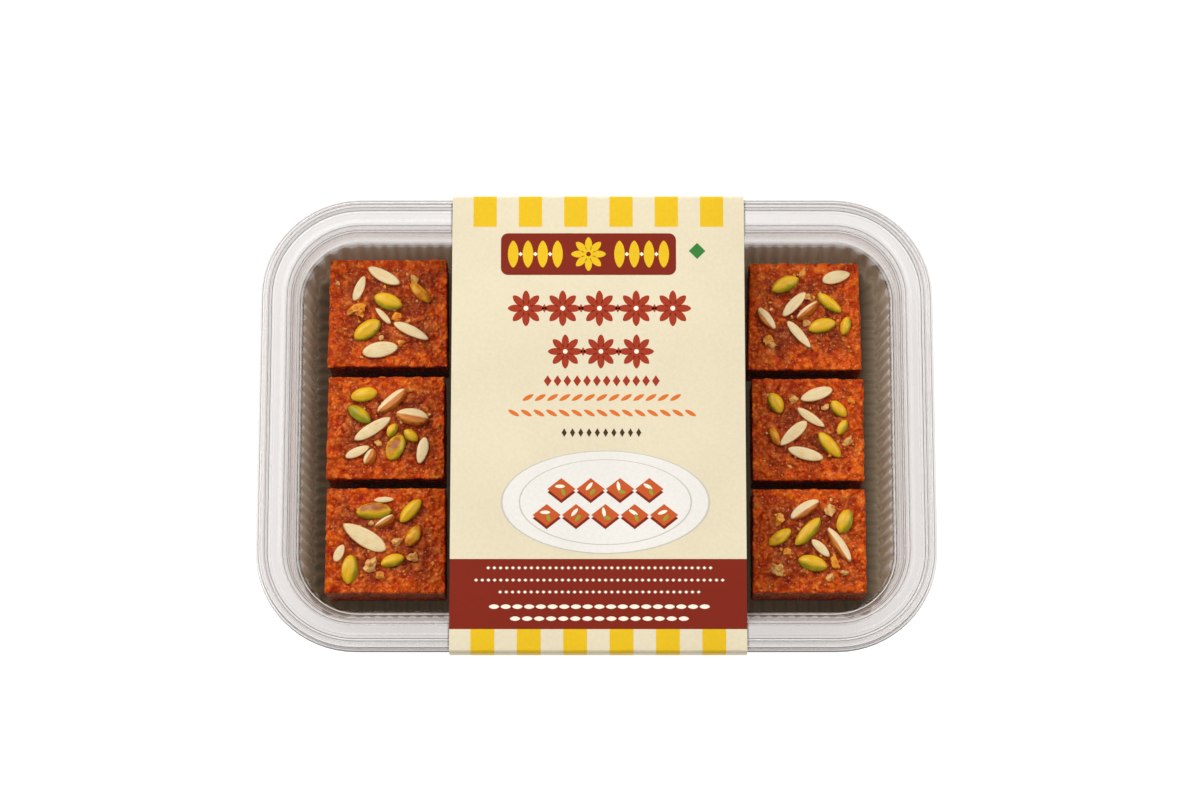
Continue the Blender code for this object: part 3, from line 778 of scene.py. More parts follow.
def round_bends(points, lines):
    """Replaces each bend of a profile by a small curve, as formed film has. Each point is (place, fold): a bend gets
    a painted dark line along its flatter half and a painted highlight along its steeper half, and the more it turns
    the stronger they are, up to lines. The last bend's are the other way round, and the film's cut edge gets a
    painted dark line."""
    rounded = [(points[0], lines), (points[0].lerp(points[1], 0.8), lines)]
    for before, corner, after in zip(points, points[1:], points[2:]):
        reach = min(
            BEND_RADIUS,
            BEND_SHARE * (corner - before).length,
            BEND_SHARE * (after - corner).length,
        )
        start = corner + (before - corner).normalized() * reach
        end = corner + (after - corner).normalized() * reach
        turned = (corner - before).angle_signed(after - corner) / SHARP_TURN
        for step in range(BEND_STEPS + 1):
            share = step / BEND_STEPS
            place = start.lerp(corner, share).lerp(corner.lerp(end, share), share)
            fold = lines * max(min(turned, 1.0), -1.0) * math.sin(2 * math.pi * share)
            if turned > 0 and fold > 0:
                fold *= CREST_SHARE
            if corner is points[-2]:
                fold = -fold
            rounded.append((place, fold))
    return rounded + [(points[-1], 0.0)]


def rim_profile(distance, lines):
    lid = [(inset * MM, height * MM) for inset, height in LID_PROFILE]
    return round_bends(offset_profile(lid, distance), lines)


def add_beads(profile):
    """Adds the fine raised lines of the lid's rim, where its profile is flat, each with its painted line on its
    crest.
    """
    beaded = []
    for here, following in zip(profile, profile[1:] + profile[-1:]):
        beaded.append(here)
        before, after = here[0], following[0]
        for inset, fold in BEADS:
            if before.x < inset - BEAD_WIDTH and after.x > inset + BEAD_WIDTH:
                share = (inset - before.x) / (after.x - before.x)
                middle = before.lerp(after, share)
                side = Vector((BEAD_WIDTH / 2, 0))
                beaded.append((middle - side, 0.0))
                beaded.append((middle + Vector((0, BEAD_HEIGHT)), fold))
                beaded.append((middle + side, 0.0))
    return beaded


def build_lid(material):
    """The lid: thin film that clips over the tray's rim and drops to a flat panel."""
    bm = bmesh.new()
    bm.verts.layers.float.new("fold")
    skins = []
    for distance, lines in zip((0, LID_WALL), LID_LINES):
        profile = rim_profile(distance, lines)
        if distance == 0:
            profile = add_beads(profile)
        panel_height = profile[-1][0].y
        profile.append((Vector((PANEL_INSET, panel_height)), 0.0))
        skins.append([smooth_ring(bm, *place, fold) for place, fold in profile])
    upper, under = skins
    loft(bm, upper[::-1] + under)
    lid = add_object("lid_film", bm, [material])
    smooth(lid, 50)
    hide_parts("lid")
    return lid


def tray_skin(bm, distance, wall, lines):
    """One skin of the tray, from the lip over the rim and down the flutes to the floor."""
    rim = rim_profile(distance, lines)
    edge_height = rim[-1][0].y
    rings = [
        smooth_ring(bm, *place, fold) for place, fold in rim if place.x < WELL_EDGE_INSET - wall
    ]
    # The upper skin's well edge gets a painted highlight.
    if not wall:
        rings.append(smooth_ring(bm, WELL_EDGE_INSET - EDGE_LINE_REACH, edge_height, EDGE_FOLD))
    top = edge_height - FLUTES_TOP_DROP
    for row in range(TIP_ROWS + 1):
        share = row / TIP_ROWS
        inset = WELL_EDGE_INSET + (FLUTES_TOP_INSET - WELL_EDGE_INSET) * share - wall
        corner = WELL_EDGE_CORNER + (FLUTES_TOP_CORNER - WELL_EDGE_CORNER) * share + wall
        height = edge_height - FLUTES_TOP_DROP * share
        grown = math.sin(math.pi / 2 * share)
        depths = (FLUTE_DEPTH * grown, CORNER_FLUTE_DEPTH * grown)
        # Painted lines on the upper skin's flute tips, and the front wall's painted dark band.
        folds = (0.0, 0.0) if wall else (TIP_FOLDS[row], FRONT_SHADE)
        rings.append(fluted_ring(bm, inset, corner, height, *depths, folds, LONG_SIDE_TIPS))
    foot = FLOOR_HEIGHT + FOOT_FILLET
    for share in [TIP_LINE_SHARE] + [row / WALL_ROWS for row in range(1, WALL_ROWS + 1)]:
        inset = FLUTES_TOP_INSET + (WELL_FOOT_INSET - FLUTES_TOP_INSET) * share - wall
        corner = FLUTES_TOP_CORNER + (WELL_FOOT_CORNER - FLUTES_TOP_CORNER) * share + wall
        corner_depth = CORNER_FLUTE_DEPTH + (FLUTE_DEPTH - CORNER_FLUTE_DEPTH) * share
        depths = (FLUTE_DEPTH, corner_depth)
        height = top + (foot - top) * share
        long_share = min(LONG_SIDE_TIPS + 2 * share, 1.0)
        # The front wall's painted dark band fades down the wall, and the painted streaks grow towards the foot.
        folds = (0.0, FRONT_SHADE * max(1 - share / FRONT_SHADE_REACH, 0))
        rings.append(fluted_ring(bm, inset, corner, height, *depths, folds, long_share, STREAK * share))
    for row in range(1, FOOT_ROWS + 1):
        turn = math.pi / 2 * row / FOOT_ROWS
        inset = WELL_FOOT_INSET - wall + FOOT_FILLET * (1 - math.cos(turn))
        height = FLOOR_HEIGHT - wall + (FOOT_FILLET + wall) * (1 - math.sin(turn))
        fade = FLUTE_DEPTH * math.cos(turn)
        rings.append(
            fluted_ring(bm, inset, WELL_FOOT_CORNER + wall, height, fade, fade, streak=STREAK)
        )
    for reach, streak in FLOOR_STREAKS:
        corner = WELL_FOOT_CORNER - reach
        rings.append(fluted_ring(bm, inset + reach, corner, height, 0.0, 0.0, streak=streak))
    return rings


def build_tray(material):
    """The tray: one thin sheet, formed into a rim under the lid's and a deep fluted well."""
    bm = bmesh.new()
    bm.verts.layers.float.new("fold")
    upper = tray_skin(bm, LID_WALL + CLEARANCE, 0, TRAY_LINES[0])
    under = tray_skin(bm, LID_WALL + CLEARANCE + TRAY_WALL, TRAY_WALL, TRAY_LINES[1])
    loft(bm, upper[::-1] + under)
    tray = add_object("tray_film", bm, [material])
    smooth(tray, 50)
    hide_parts("tray")
    return tray


def rounded_corner(before, corner, after, radius):
    """Points along the round fold that replaces a corner of the sleeve's section."""
    to_before = (before - corner).normalized()
    to_after = (after - corner).normalized()
    half = to_before.angle(to_after) / 2
    reach = radius / math.tan(half)
    centre = corner + (to_before + to_after).normalized() * radius / math.sin(half)
    start = (corner + to_before * reach - centre).normalized()
    end = (corner + to_after * reach - centre).normalized()
    turns = [start.slerp(end, step / FOLD_STEPS) for step in range(FOLD_STEPS + 1)]
    return [centre + turn * radius for turn in turns]


def sleeve_section(inward):
    """The sleeve's closed section in Y and Z, moved in by inward, from the back of its top over
    the back fold, under the pack and up to the front of its top."""
    half = SLEEVE_HALF_WIDTH - inward
    foot = SLEEVE_FOOT_HALF_WIDTH - inward
    top = SLEEVE_HEIGHT - inward
    corners = [
        (half, top, FOLD_RADIUS),
        (half, SLEEVE_KINK_HEIGHT, KINK_RADIUS),
        (foot, inward, FOLD_RADIUS),
        (-foot, inward, FOLD_RADIUS),
        (-half, SLEEVE_KINK_HEIGHT, KINK_RADIUS),
        (-half, top, FOLD_RADIUS),
    ]
    places = [Vector((0, y, z)) for y, z, _ in corners]
    section = []
    for number, (_, _, radius) in enumerate(corners):
        before = places[number - 1]
        after = places[(number + 1) % len(places)]
        section += rounded_corner(before, places[number], after, radius - inward)
    cuts = (BAND_FRONT, BAND_BACK, BACK_STRIPES_FROM)
    return section + [Vector((0, cut * MM, top)) for cut in cuts]


def stripe_edges():
    """Where the sleeve's stripes begin and end along X."""
    for number in range(STRIPES):
        middle = (STRIPE_FIRST + STRIPE_PITCH * number) * MM
        yield middle - STRIPE_WIDTH / 2 * MM, middle + STRIPE_WIDTH / 2 * MM


def print_number(point, on_top):
    """Which of the sleeve's inks is at a point of its outside: 0 card, 1 yellow, 2 maroon."""
    x, y, z = point
    if on_top and BAND_FRONT * MM < y < BAND_BACK * MM:
        return 2
    in_stripe = any(low < x < high for low, high in stripe_edges())
    on_back = y > BACK_STRIPES_FROM * MM or (y > 0 and not on_top)
    on_front = y < FRONT_STRIPES_FROM * MM or (y < 0 and not on_top)
    on_underside = z < FOLD_RADIUS / 2
    return int(in_stripe and (on_back or on_front) and not on_underside)


def build_sleeve(inks):
    """The sleeve: a band of card, whose outside is cut into fields of ink."""
    bm = bmesh.new()
    ends = [SLEEVE_MIDDLE - SLEEVE_LENGTH / 2, SLEEVE_MIDDLE + SLEEVE_LENGTH / 2]
    columns = sorted(ends + [edge for pair in stripe_edges() for edge in pair])
    outside = sleeve_section(0)
    outer = [[bm.verts.new(point + Vector((x, 0, 0))) for point in outside] for x in columns]
    inner = [[bm.verts.new(point + Vector((x, 0, 0))) for point in sleeve_section(CARD)] for x in ends]
    raw_card = 3
    count = len(outside)
    for left, right in zip(outer, outer[1:]):
        for i in range(count):
            after = (i + 1) % count
            face = bm.faces.new((left[i], left[after], right[after], right[i]))
            flat_top = min(vertex.co.z for vertex in face.verts) > SLEEVE_HEIGHT - 0.01 * MM
            face.material_index = print_number(face.calc_center_median(), flat_top)
    for first, second in ((inner[0], inner[1]), (outer[0], inner[0]), (outer[-1], inner[1])):
        for i in range(count):
            after = (i + 1) % count
            face = bm.faces.new((first[i], first[after], second[after], second[i]))
            face.material_index = raw_card
    sleeve = add_object("sleeve_card", bm, inks)
    smooth(sleeve, 40)
    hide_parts("sleeve")
    return sleeve


def lens(length, width, turn=0.0, steps=10):
    """A leaf's outline, pointed at both ends."""
    sides = [
        (length / 2 * math.cos(math.pi * i / steps), width / 2 * math.sin(math.pi * i / steps) ** 1.3)
        for i in range(steps)
    ]
    outline = [Vector((x, y)) for x, y in sides] + [Vector((-x, -y)) for x, y in sides]
    spin = Matrix.Rotation(math.radians(turn), 2)
    return [spin @ point for point in outline]


def disc(radius, squash=1.0, steps=48):
    turns = (2 * math.pi * i / steps for i in range(steps))
    return [Vector((radius * math.cos(turn), radius * squash * math.sin(turn))) for turn in turns]


def diamond(width, height):
    return [Vector(at) for at in ((width / 2, 0), (0, height / 2), (-width / 2, 0), (0, -height / 2))]


def rounded_bar(width, height, radius, steps=6):
    x = width / 2 - radius
    y = height / 2 - radius
    outline = []
    for quarter, centre in enumerate(((x, y), (-x, y), (-x, -y), (x, -y))):
        for step in range(steps + 1):
            turn = math.pi / 2 * (quarter + step / steps)
            outline.append(Vector(centre) + radius * Vector((math.cos(turn), math.sin(turn))))
    return outline


def print_shape(bm, outline, x, y, ink, layer=0):
    """A thin flat shape of ink on the sleeve's top, in millimetres. A higher layer lies on it."""
    low = SLEEVE_HEIGHT + PRINT_LIFT + layer * PRINT_THICKNESS
    rings = []
    for height in (low, low + PRINT_THICKNESS):
        rings.append([bm.verts.new(((x + at.x) * MM, (y + at.y) * MM, height)) for at in outline])
    bottom, top = rings
    faces = [bm.faces.new(bottom[::-1]), bm.faces.new(top)]
    for i, corner in enumerate(bottom):
        after = (i + 1) % len(bottom)
        faces.append(bm.faces.new((corner, bottom[after], top[after], top[i])))
    for face in faces:
        face.material_index = ink


def print_flower(bm, x, y, radius, petals, ink, heart_ink, layer=0):
    """A round flower of pointed petals with a disc for its heart."""
    for petal in range(petals):
        turn = 360 * petal / petals
        way = Vector((math.cos(math.radians(turn)), math.sin(math.radians(turn))))
        place = Vector((x, y)) + way * radius * 0.56
        print_shape(bm, lens(radius * 0.84, radius * 0.4, turn), *place, ink, layer)
    print_shape(bm, disc(radius * 0.26), x, y, ink, layer + 1)
    print_shape(bm, disc(radius * 0.13), x, y, heart_ink, layer + 2)


def print_row(bm, outline, first, last, y, count, ink, layer=0):
    for number in range(count):
        x = first + (last - first) * number / (count - 1)
        print_shape(bm, outline, x, y, ink, layer)


def build_print(inks):
    """The sleeve's ornament: rows of leaves, diamonds and dots, and a round plate of sweets."""
    maroon, cream, red, orange, dark, green, white, shade, sweet, pistachio, yellow = range(11)
    bm = bmesh.new()
    print_shape(bm, rounded_bar(59.3, 14.5, 2.4), -2.7, 57.6, maroon)
    print_flower(bm, -2.7, 57.6, 6.0, 8, yellow, maroon, 1)
    for start, end in ((-28.2, -13.2), (7.8, 22.8)):
        print_row(bm, lens(9.4, 3.6, 90), start, end, 57.6, 4, yellow, 1)
        print_row(bm, diamond(1.5, 1.5), start + 2.5, end - 2.5, 57.6, 3, cream, 1)
    print_shape(bm, diamond(5.6, 5.6), 34.1, 58.7, green)
    for x in (-23.8, -11.4, 1.0, 13.4, 25.8):
        print_flower(bm, x, 38.8, 6.3, 8, red, cream)
    print_row(bm, diamond(1.8, 3.0), -17.6, 19.6, 38.8, 4, red)
    for x in (-10.5, 1.5, 13.5):
        print_flower(bm, x, 23.9, 6.0, 8, red, cream)
    print_row(bm, diamond(1.8, 3.0), -4.5, 7.5, 23.9, 2, red)
    print_row(bm, diamond(2.6, 3.8), -16.4, 20.0, 13.8, 12, red)
    print_row(bm, lens(4.2, 1.4, 30), -23.0, 26.6, 8.1, 13, orange)
    print_row(bm, lens(4.2, 1.4, -30), -27.8, 31.6, 2.8, 15, orange)
    print_row(bm, diamond(1.7, 3.0), -10.8, 14.2, -3.9, 10, dark)
    for layer, (reach, ink) in enumerate(((35.0, shade), (34.4, white), (29.0, shade), (28.5, white))):
        print_shape(bm, disc(reach, 0.5), PLATE_X, PLATE_Y, ink, layer)
    for row, count in ((1, 4), (-1, 5)):
        for number in range(count):
            x = PLATE_X + 9.8 * (number - (count - 1) / 2)
            y = PLATE_Y + 4.4 * row
            print_shape(bm, diamond(9.4, 7.4), x, y - 1.1, maroon, 4)
            print_shape(bm, diamond(9.4, 7.4), x, y, sweet, 5)
            print_shape(bm, lens(3.4, 1.2, 50 * number), x - 0.5, y + 0.9, cream, 6)
            print_shape(bm, lens(2.6, 1.2, 110 - 60 * number), x + 0.6, y - 1.0, pistachio, 6)
    for y, count in ((-49.7, 37), (-53.8, 41), (-57.8, 33)):
        print_row(bm, diamond(1.3, 1.1), 1.0 - count, 1.0 + count, y, count, cream)
    print_row(bm, lens(3.4, 1.5), -34.0, 36.0, -62.7, 19, cream)
    print_row(bm, lens(3.4, 1.5), -27.0, 29.0, -66.7, 15, cream)
    printed = add_object("sleeve_print", bm, inks)
    return printed


def crumb_relief(point):
    """How far the crumb stands out at a point: clumps with finer grains on them, and pits."""
    clump, clump_places = noise.voronoi(point / CLUMP_SIZE)
    grain, grain_places = noise.voronoi(point / GRAIN_SIZE)
    tall = 0.6 + 0.8 * noise.cell(clump_places[0] * 3.1)
    loose = 0.5 + noise.cell(grain_places[0] * 3.1)
    swell = noise.noise(point / SWELL_SIZE)
    pit = max(noise.noise(point / PIT_SIZE + Vector((9, 4, 6))) - 0.25, 0)
    lumps = CLUMP_HEIGHT * (tall * (1 - clump[0] ** 2) - 0.4)
    grains = GRAIN_HEIGHT * (loose * (1 - (grain[0] / 0.8) ** 2) - 0.2)
    return SWELL_HEIGHT * swell, lumps + grains - PIT_DEPTH * pit * 2


def sweet_mesh(name, place, cells, material):
    """One sweet: a cut block with nearly sharp edges, whose whole surface is crumb."""
    x, y, width_behind, width_front, depth = (value * MM for value in place)
    across, along, layers = cells
    height = SWEET_TOP - SWEET_BOTTOM
    bm = bmesh.new()
    bmesh.ops.create_grid(bm, x_segments=across, y_segments=along, size=0.5)
    for _ in range(layers):
        rim = [edge for edge in bm.edges if edge.is_boundary]
        lower = bmesh.ops.extrude_edge_only(bm, edges=rim)["geom"]
        for vertex in (item for item in lower if isinstance(item, bmesh.types.BMVert)):
            vertex.co.z -= 1 / layers
    bmesh.ops.holes_fill(bm, edges=[edge for edge in bm.edges if edge.is_boundary], sides=0)
    relief_layer = bm.verts.layers.float.new("relief")
    oil_and_shade_layer = bm.verts.layers.float.new("oil_and_shade")
    side_shade_layer = bm.verts.layers.float.new("side")
    centre = Vector((x, y, SWEET_TOP - 0.2 * MM))
    for vertex in bm.verts:
        u, v, w = vertex.co
        half_width = (width_front + (width_behind - width_front) * (v + 0.5) + w * SWEET_TAPER) / 2
        half_depth = (depth + w * SWEET_TAPER) / 2
        flat = Vector((2 * u * half_width, 2 * v * half_depth, w * height))
        inner = Vector((
            max(min(flat.x, half_width - SWEET_EDGE), SWEET_EDGE - half_width),
            max(min(flat.y, half_depth - SWEET_EDGE), SWEET_EDGE - half_depth),
            min(flat.z, -SWEET_EDGE),
        ))
        way = (flat - inner).normalized()
        swell, crumb = crumb_relief(flat + centre)
        shown = min((w + 1) * layers / 3, 1) * (SIDE_RELIEF + (1 - SIDE_RELIEF) * max(way.z, 0))
        vertex.co = centre + inner + way * (SWEET_EDGE + (swell + crumb) * shown)
        vertex.co.z = max(vertex.co.z, SWEET_BOTTOM)
        # relief also sets the crumb's painted pit shade and crest highlights.
        vertex[relief_layer] = 0.5 + crumb / (CLUMP_HEIGHT + GRAIN_HEIGHT)
        # The middle turns browner and duller, partly from oil and partly as painted shade.
        margin = min(half_width - abs(flat.x), half_depth - abs(flat.y))
        vertex[oil_and_shade_layer] = min(margin / OIL_AND_SHADE_MARGIN, 1) if w > -0.01 else 0
        # Painted shade on the sides, full a little below the top.
        vertex[side_shade_layer] = min(-w / SIDE_SHADE_FADE, 1)
    body = add_object(name, bm, [material])
    body.data.shade_smooth()
    return body


def nut_layers(bm):
    return {key: bm.verts.layers.float.new(key) for key in ("tone", "skin", "along", "across")}


def lay_nut(points, topping, thickness, draw):
    """Moves a nut's points, made for a unit box, to where it lies on its sweet."""
    kind, x, y, length, width, turn, top = topping
    family = "pistachio" if kind.endswith("pistachio") else kind.replace("gold_", "")
    size = Matrix.Diagonal((length, width, thickness))
    lean = TOPPING_LEAN[family] + draw.uniform(-LEAN_JITTER, LEAN_JITTER)
    roll = Matrix.Rotation(math.radians(-lean), 3, "X")
    pitch = Matrix.Rotation(math.radians(draw.uniform(-TIP_JITTER, TIP_JITTER)), 3, "Y")
    heading = Matrix.Rotation(math.radians(turn), 3, "Z")
    lift = Vector((x, y, top + TOPPING_LIFT[family]))
    for point in points:
        yield lift + heading @ pitch @ roll @ size @ point


def stack_rings(bm, layers, rings, first, last, values):
    """Closes a nut from its rings of vertices and the points at its two ends."""
    for ring_a, ring_b in zip(rings, rings[1:]):
        for i, corner in enumerate(ring_a):
            after = (i + 1) % len(ring_a)
            bm.faces.new((corner, ring_a[after], ring_b[after], ring_b[i]))
    for tip, ring in ((first, rings[0]), (last, rings[-1])):
        for i, corner in enumerate(ring):
            bm.faces.new((tip, corner, ring[(i + 1) % len(ring)]))
    for vertex, numbers in values:
        for key, number in numbers.items():
            vertex[layers[key]] = number


# An almond's section from the top's middle to the underside's: (share of its outline, height as
# a share of half its thickness, how much skin it has)
ALMOND_RINGS = (
    (0.35, 1.0, 0.0),
    (0.68, 0.97, 0.0),
    (0.86, 0.92, 0.0),
    (0.93, 0.82, 0.5),
    (0.975, 0.58, 0.9),
    (1.0, 0.1, 1.0),
    (0.99, -0.3, 1.0),
    (0.93, -0.7, 0.6),
    (0.75, -0.95, 0.2),
)
ALMOND_POINTS = 32
ALMOND_POINTEDNESS = 1.12


def add_almond(bm, layers, topping, draw):
    """A sliced almond: a flat lens with a thin edge of skin, thicker where its skin shows."""
    kind, length, width = topping[0], topping[3], topping[4]
    skinned = kind in SKIN_FROM
    tone = draw.uniform(0, 40)
    blunt = draw.uniform(-0.18, 0.18)
    bend = draw.uniform(-0.05, 0.05)
    outline = []
    for i in range(ALMOND_POINTS):
        turn = 2 * math.pi * i / ALMOND_POINTS
        along = math.cos(turn) / 2
        side = math.sin(turn)
        half = math.copysign(abs(side) ** ALMOND_POINTEDNESS, side) / 2
        outline.append((along, half * (1 + blunt * 2 * along)))
    flat = []
    numbers = []
    for share, height, skin in ALMOND_RINGS:
        for along, half in outline:
            crown = 0.12 * (1 - share)
            flat.append(Vector((along * share, half * share + bend * (4 * along ** 2 - 1), (height + crown) / 2)))
            if skinned and height > 0:
                skin = min(max(0.5 - (half * share - SKIN_FROM[kind]) * 5, 0.0), 1.0)
            numbers.append({
                "tone": tone, "skin": skin if skinned else skin * 0.72,
                "along": along * share * length * 0.35, "across": half * share * width * 2.4,
            })
    flat += [Vector((0, 0, 0.56)), Vector((0, 0, -0.5))]
    middle_skin = 0.5 if kind == "skin_almond" else 0.0
    numbers += [{"tone": tone, "skin": middle_skin, "along": 0, "across": 0}] * 2

    thickness = TOPPING_THICKNESS[kind] * draw.uniform(0.9, 1.1)
    laid = [bm.verts.new(point) for point in lay_nut(flat, topping, thickness, draw)]
    count = ALMOND_POINTS
    rings = [laid[start:start + count] for start in range(0, len(laid) - 2, count)]
    stack_rings(bm, layers, rings, laid[-2], laid[-1], zip(laid, numbers))


BIG_CHUNK = 2.0
PISTACHIO_STATIONS = 18
PISTACHIO_POINTS = 20
PISTACHIO_RIDGES = 5
PISTACHIO_TONES = {
    "pistachio": (-0.2, 0.3), "green_pistachio": (-0.2, 0.0), "gold_pistachio": (0.45, 0.85),
    "skin_pistachio": (1.9, 2.0),
}
PISTACHIO_GREENNESS = {
    "pistachio": 0.0, "green_pistachio": 0.55, "gold_pistachio": -0.15, "skin_pistachio": 0.1,

}


def add_pistachio(bm, layers, topping, draw):
    """A pistachio kernel: a plump spindle with faint ridges and a small point at each end."""
    kind, length, width = topping[0], topping[3], topping[4]
    tone = draw.uniform(*PISTACHIO_TONES[kind])
    greenness = PISTACHIO_GREENNESS[kind] + draw.uniform(-0.1, 0.1)
    green_side = draw.uniform(-0.9, -0.2)
    bend = draw.uniform(-0.06, 0.06)
    ridge_turn = draw.uniform(0, 2 * math.pi)
    flat = []
    numbers = []
    for station in range(1, PISTACHIO_STATIONS):
        run = -math.cos(math.pi * station / PISTACHIO_STATIONS)
        radius = 0.5 * (1 - abs(run) ** 2.2) ** 0.6
        for i in range(PISTACHIO_POINTS):
            turn = 2 * math.pi * i / PISTACHIO_POINTS
            ridge = 1 + 0.045 * math.cos(PISTACHIO_RIDGES * turn + ridge_turn)
            side = math.sin(turn) * radius * ridge
            up = math.cos(turn) * radius * ridge
            flat.append(Vector((run / 2, side + bend * (run ** 2 - 0.5), up)))
            sideways = 1 - max(math.cos(turn + green_side), 0) * (1 - 0.5 * abs(run) ** 3)
            numbers.append({
                "tone": tone, "skin": sideways + greenness,
                "along": run * length * 0.15, "across": turn * 1.8,
            })
    flat += [Vector((-0.5, bend / 2, 0)), Vector((0.5, bend / 2, 0))]
    numbers += [{"tone": tone, "skin": 1, "along": 0, "across": 0}] * 2
    thickness = min(TOPPING_THICKNESS["pistachio"], width * 0.85)
    laid = [bm.verts.new(point) for point in lay_nut(flat, topping, thickness, draw)]
    count = PISTACHIO_POINTS
    rings = [laid[start:start + count] for start in range(0, len(laid) - 2, count)]
    stack_rings(bm, layers, rings, laid[-2], laid[-1], zip(laid, numbers))


def add_chunk(bm, layers, topping, draw):
    """A broken piece of nut: a lump with flat breaks and sharp corners."""
    kind, width = topping[0], topping[4]
    shape = bmesh.new()
    bmesh.ops.create_icosphere(shape, subdivisions=3 if width > BIG_CHUNK else 2, radius=0.5)
    breaks = []
    for _ in range(8):
        way = Vector((draw.gauss(0, 1), draw.gauss(0, 1), draw.gauss(0, 1))).normalized()
        breaks.append((way, draw.uniform(0.2, 0.4)))
    shift = Vector((draw.uniform(0, 50), draw.uniform(0, 50), 0))
    flat = []
    for vertex in shape.verts:
        point = vertex.co.copy()
        for way, reach in breaks:
            past = point.dot(way) - reach
            if past > 0:
                point -= way * past
        rough = noise.noise(vertex.co * 4 + shift) * 0.5 + noise.noise(vertex.co * 9 + shift) * 0.3
        flat.append(point * (1.15 + rough))
    thickness = width * TOPPING_THICKNESS["chunk"]
    laid = [bm.verts.new(point) for point in lay_nut(flat, topping, thickness, draw)]
    for face in shape.faces:
        bm.faces.new([laid[vertex.index] for vertex in face.verts])
    shape.free()
    tone = draw.uniform(0.75, 1.0) if kind == "gold_chunk" else draw.uniform(0.0, 0.3)
    for vertex in laid:
        vertex[layers["tone"]] = tone


def hidden_toppings(name):
    """Toppings for a sweet under the sleeve, drawn to match the ones that show."""
    draw = random.Random(name)
    cells = [(i, j) for i in (-1, 0, 1) for j in (-1, 0, 1)]
    draw.shuffle(cells)
    found = []
    for number, (i, j) in enumerate(cells[:HIDDEN_TOPPINGS]):
        kind = ("almond", "pistachio")[number % 2]
        x = i * CELL_X + draw.uniform(-CELL_JITTER, CELL_JITTER)
        y = j * CELL_Y + draw.uniform(-CELL_JITTER, CELL_JITTER)
        length = draw.uniform(*HIDDEN_LENGTH)
        found.append((kind, x, y, length, length * HIDDEN_SLIMNESS[kind], draw.uniform(0, 180)))
    return found


def hidden_sweet(name, column, row):
    """Place and size of a sweet under the sleeve, drawn to match the ones that show."""
    draw = random.Random(name + "_size")
    width = draw.uniform(*HIDDEN_WIDTH)
    x = COLUMN_X[column] + draw.uniform(-HIDDEN_SHIFT_X, HIDDEN_SHIFT_X)
    y = ROWS[row] + draw.uniform(-HIDDEN_SHIFT_Y, HIDDEN_SHIFT_Y)
    lean = draw.uniform(-HIDDEN_SHIFT_Y, HIDDEN_SHIFT_Y)
    return x, y, width, width + lean, draw.uniform(*HIDDEN_DEPTH)


def scattered_crumbs(draw, place):
    """Tiny crumbs of nut over one sweet."""
    for _ in range(CRUMBS):
        kind = draw.choice(("chunk", "chunk", "gold_chunk"))
        x = draw.uniform(-CRUMB_REACH, CRUMB_REACH) * place[2]
        y = draw.uniform(-CRUMB_REACH, CRUMB_REACH) * place[4]
        size = draw.uniform(*CRUMB_SIZES)
        yield kind, x, y, size * draw.uniform(1.0, 1.5), size, draw.uniform(0, 180)


def build_sweets():
    """The twelve sweets, and over them one piece for each kind of nut."""
    crumb = barfi_material()
    makers = {"almond": add_almond, "pistachio": add_pistachio, "chunk": add_chunk}
    piles = {family: bmesh.new() for family in makers}
    layers = {family: nut_layers(bm) for family, bm in piles.items()}
    for row in ROWS:
        for column in range(len(COLUMN_X)):
            name = f"barfi_{row}_{column + 1}"
            shown = name in SHOWN_SWEETS
            place = SHOWN_SWEETS[name] if shown else hidden_sweet(name, column, row)
            cells = SHOWN_CELLS if shown else HIDDEN_CELLS
            body = sweet_mesh(name + "_crumb", place, cells, crumb)
            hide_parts(name)
            draw = random.Random(name + "_nuts")
            toppings = list(SHOWN_TOPPINGS[name] if shown else hidden_toppings(name))
            toppings += scattered_crumbs(draw, place)
            for kind, x, y, length, width, turn in toppings:
                family = kind.rsplit("_", 1)[-1]
                at = (place[0] + x, place[1] + y)
                topping = (kind, *at, length, width, turn, SWEET_TOP / MM)
                makers[family](piles[family], layers[family], topping, draw)
    looks = {"almond": almond_material(), "pistachio": pistachio_material(), "chunk": chunk_material()}
    for family, bm in piles.items():
        bmesh.ops.scale(bm, vec=(MM, MM, MM), verts=bm.verts)
        pile = add_object(family + "_toppings", bm, [looks[family]])
        smooth(pile, 35)


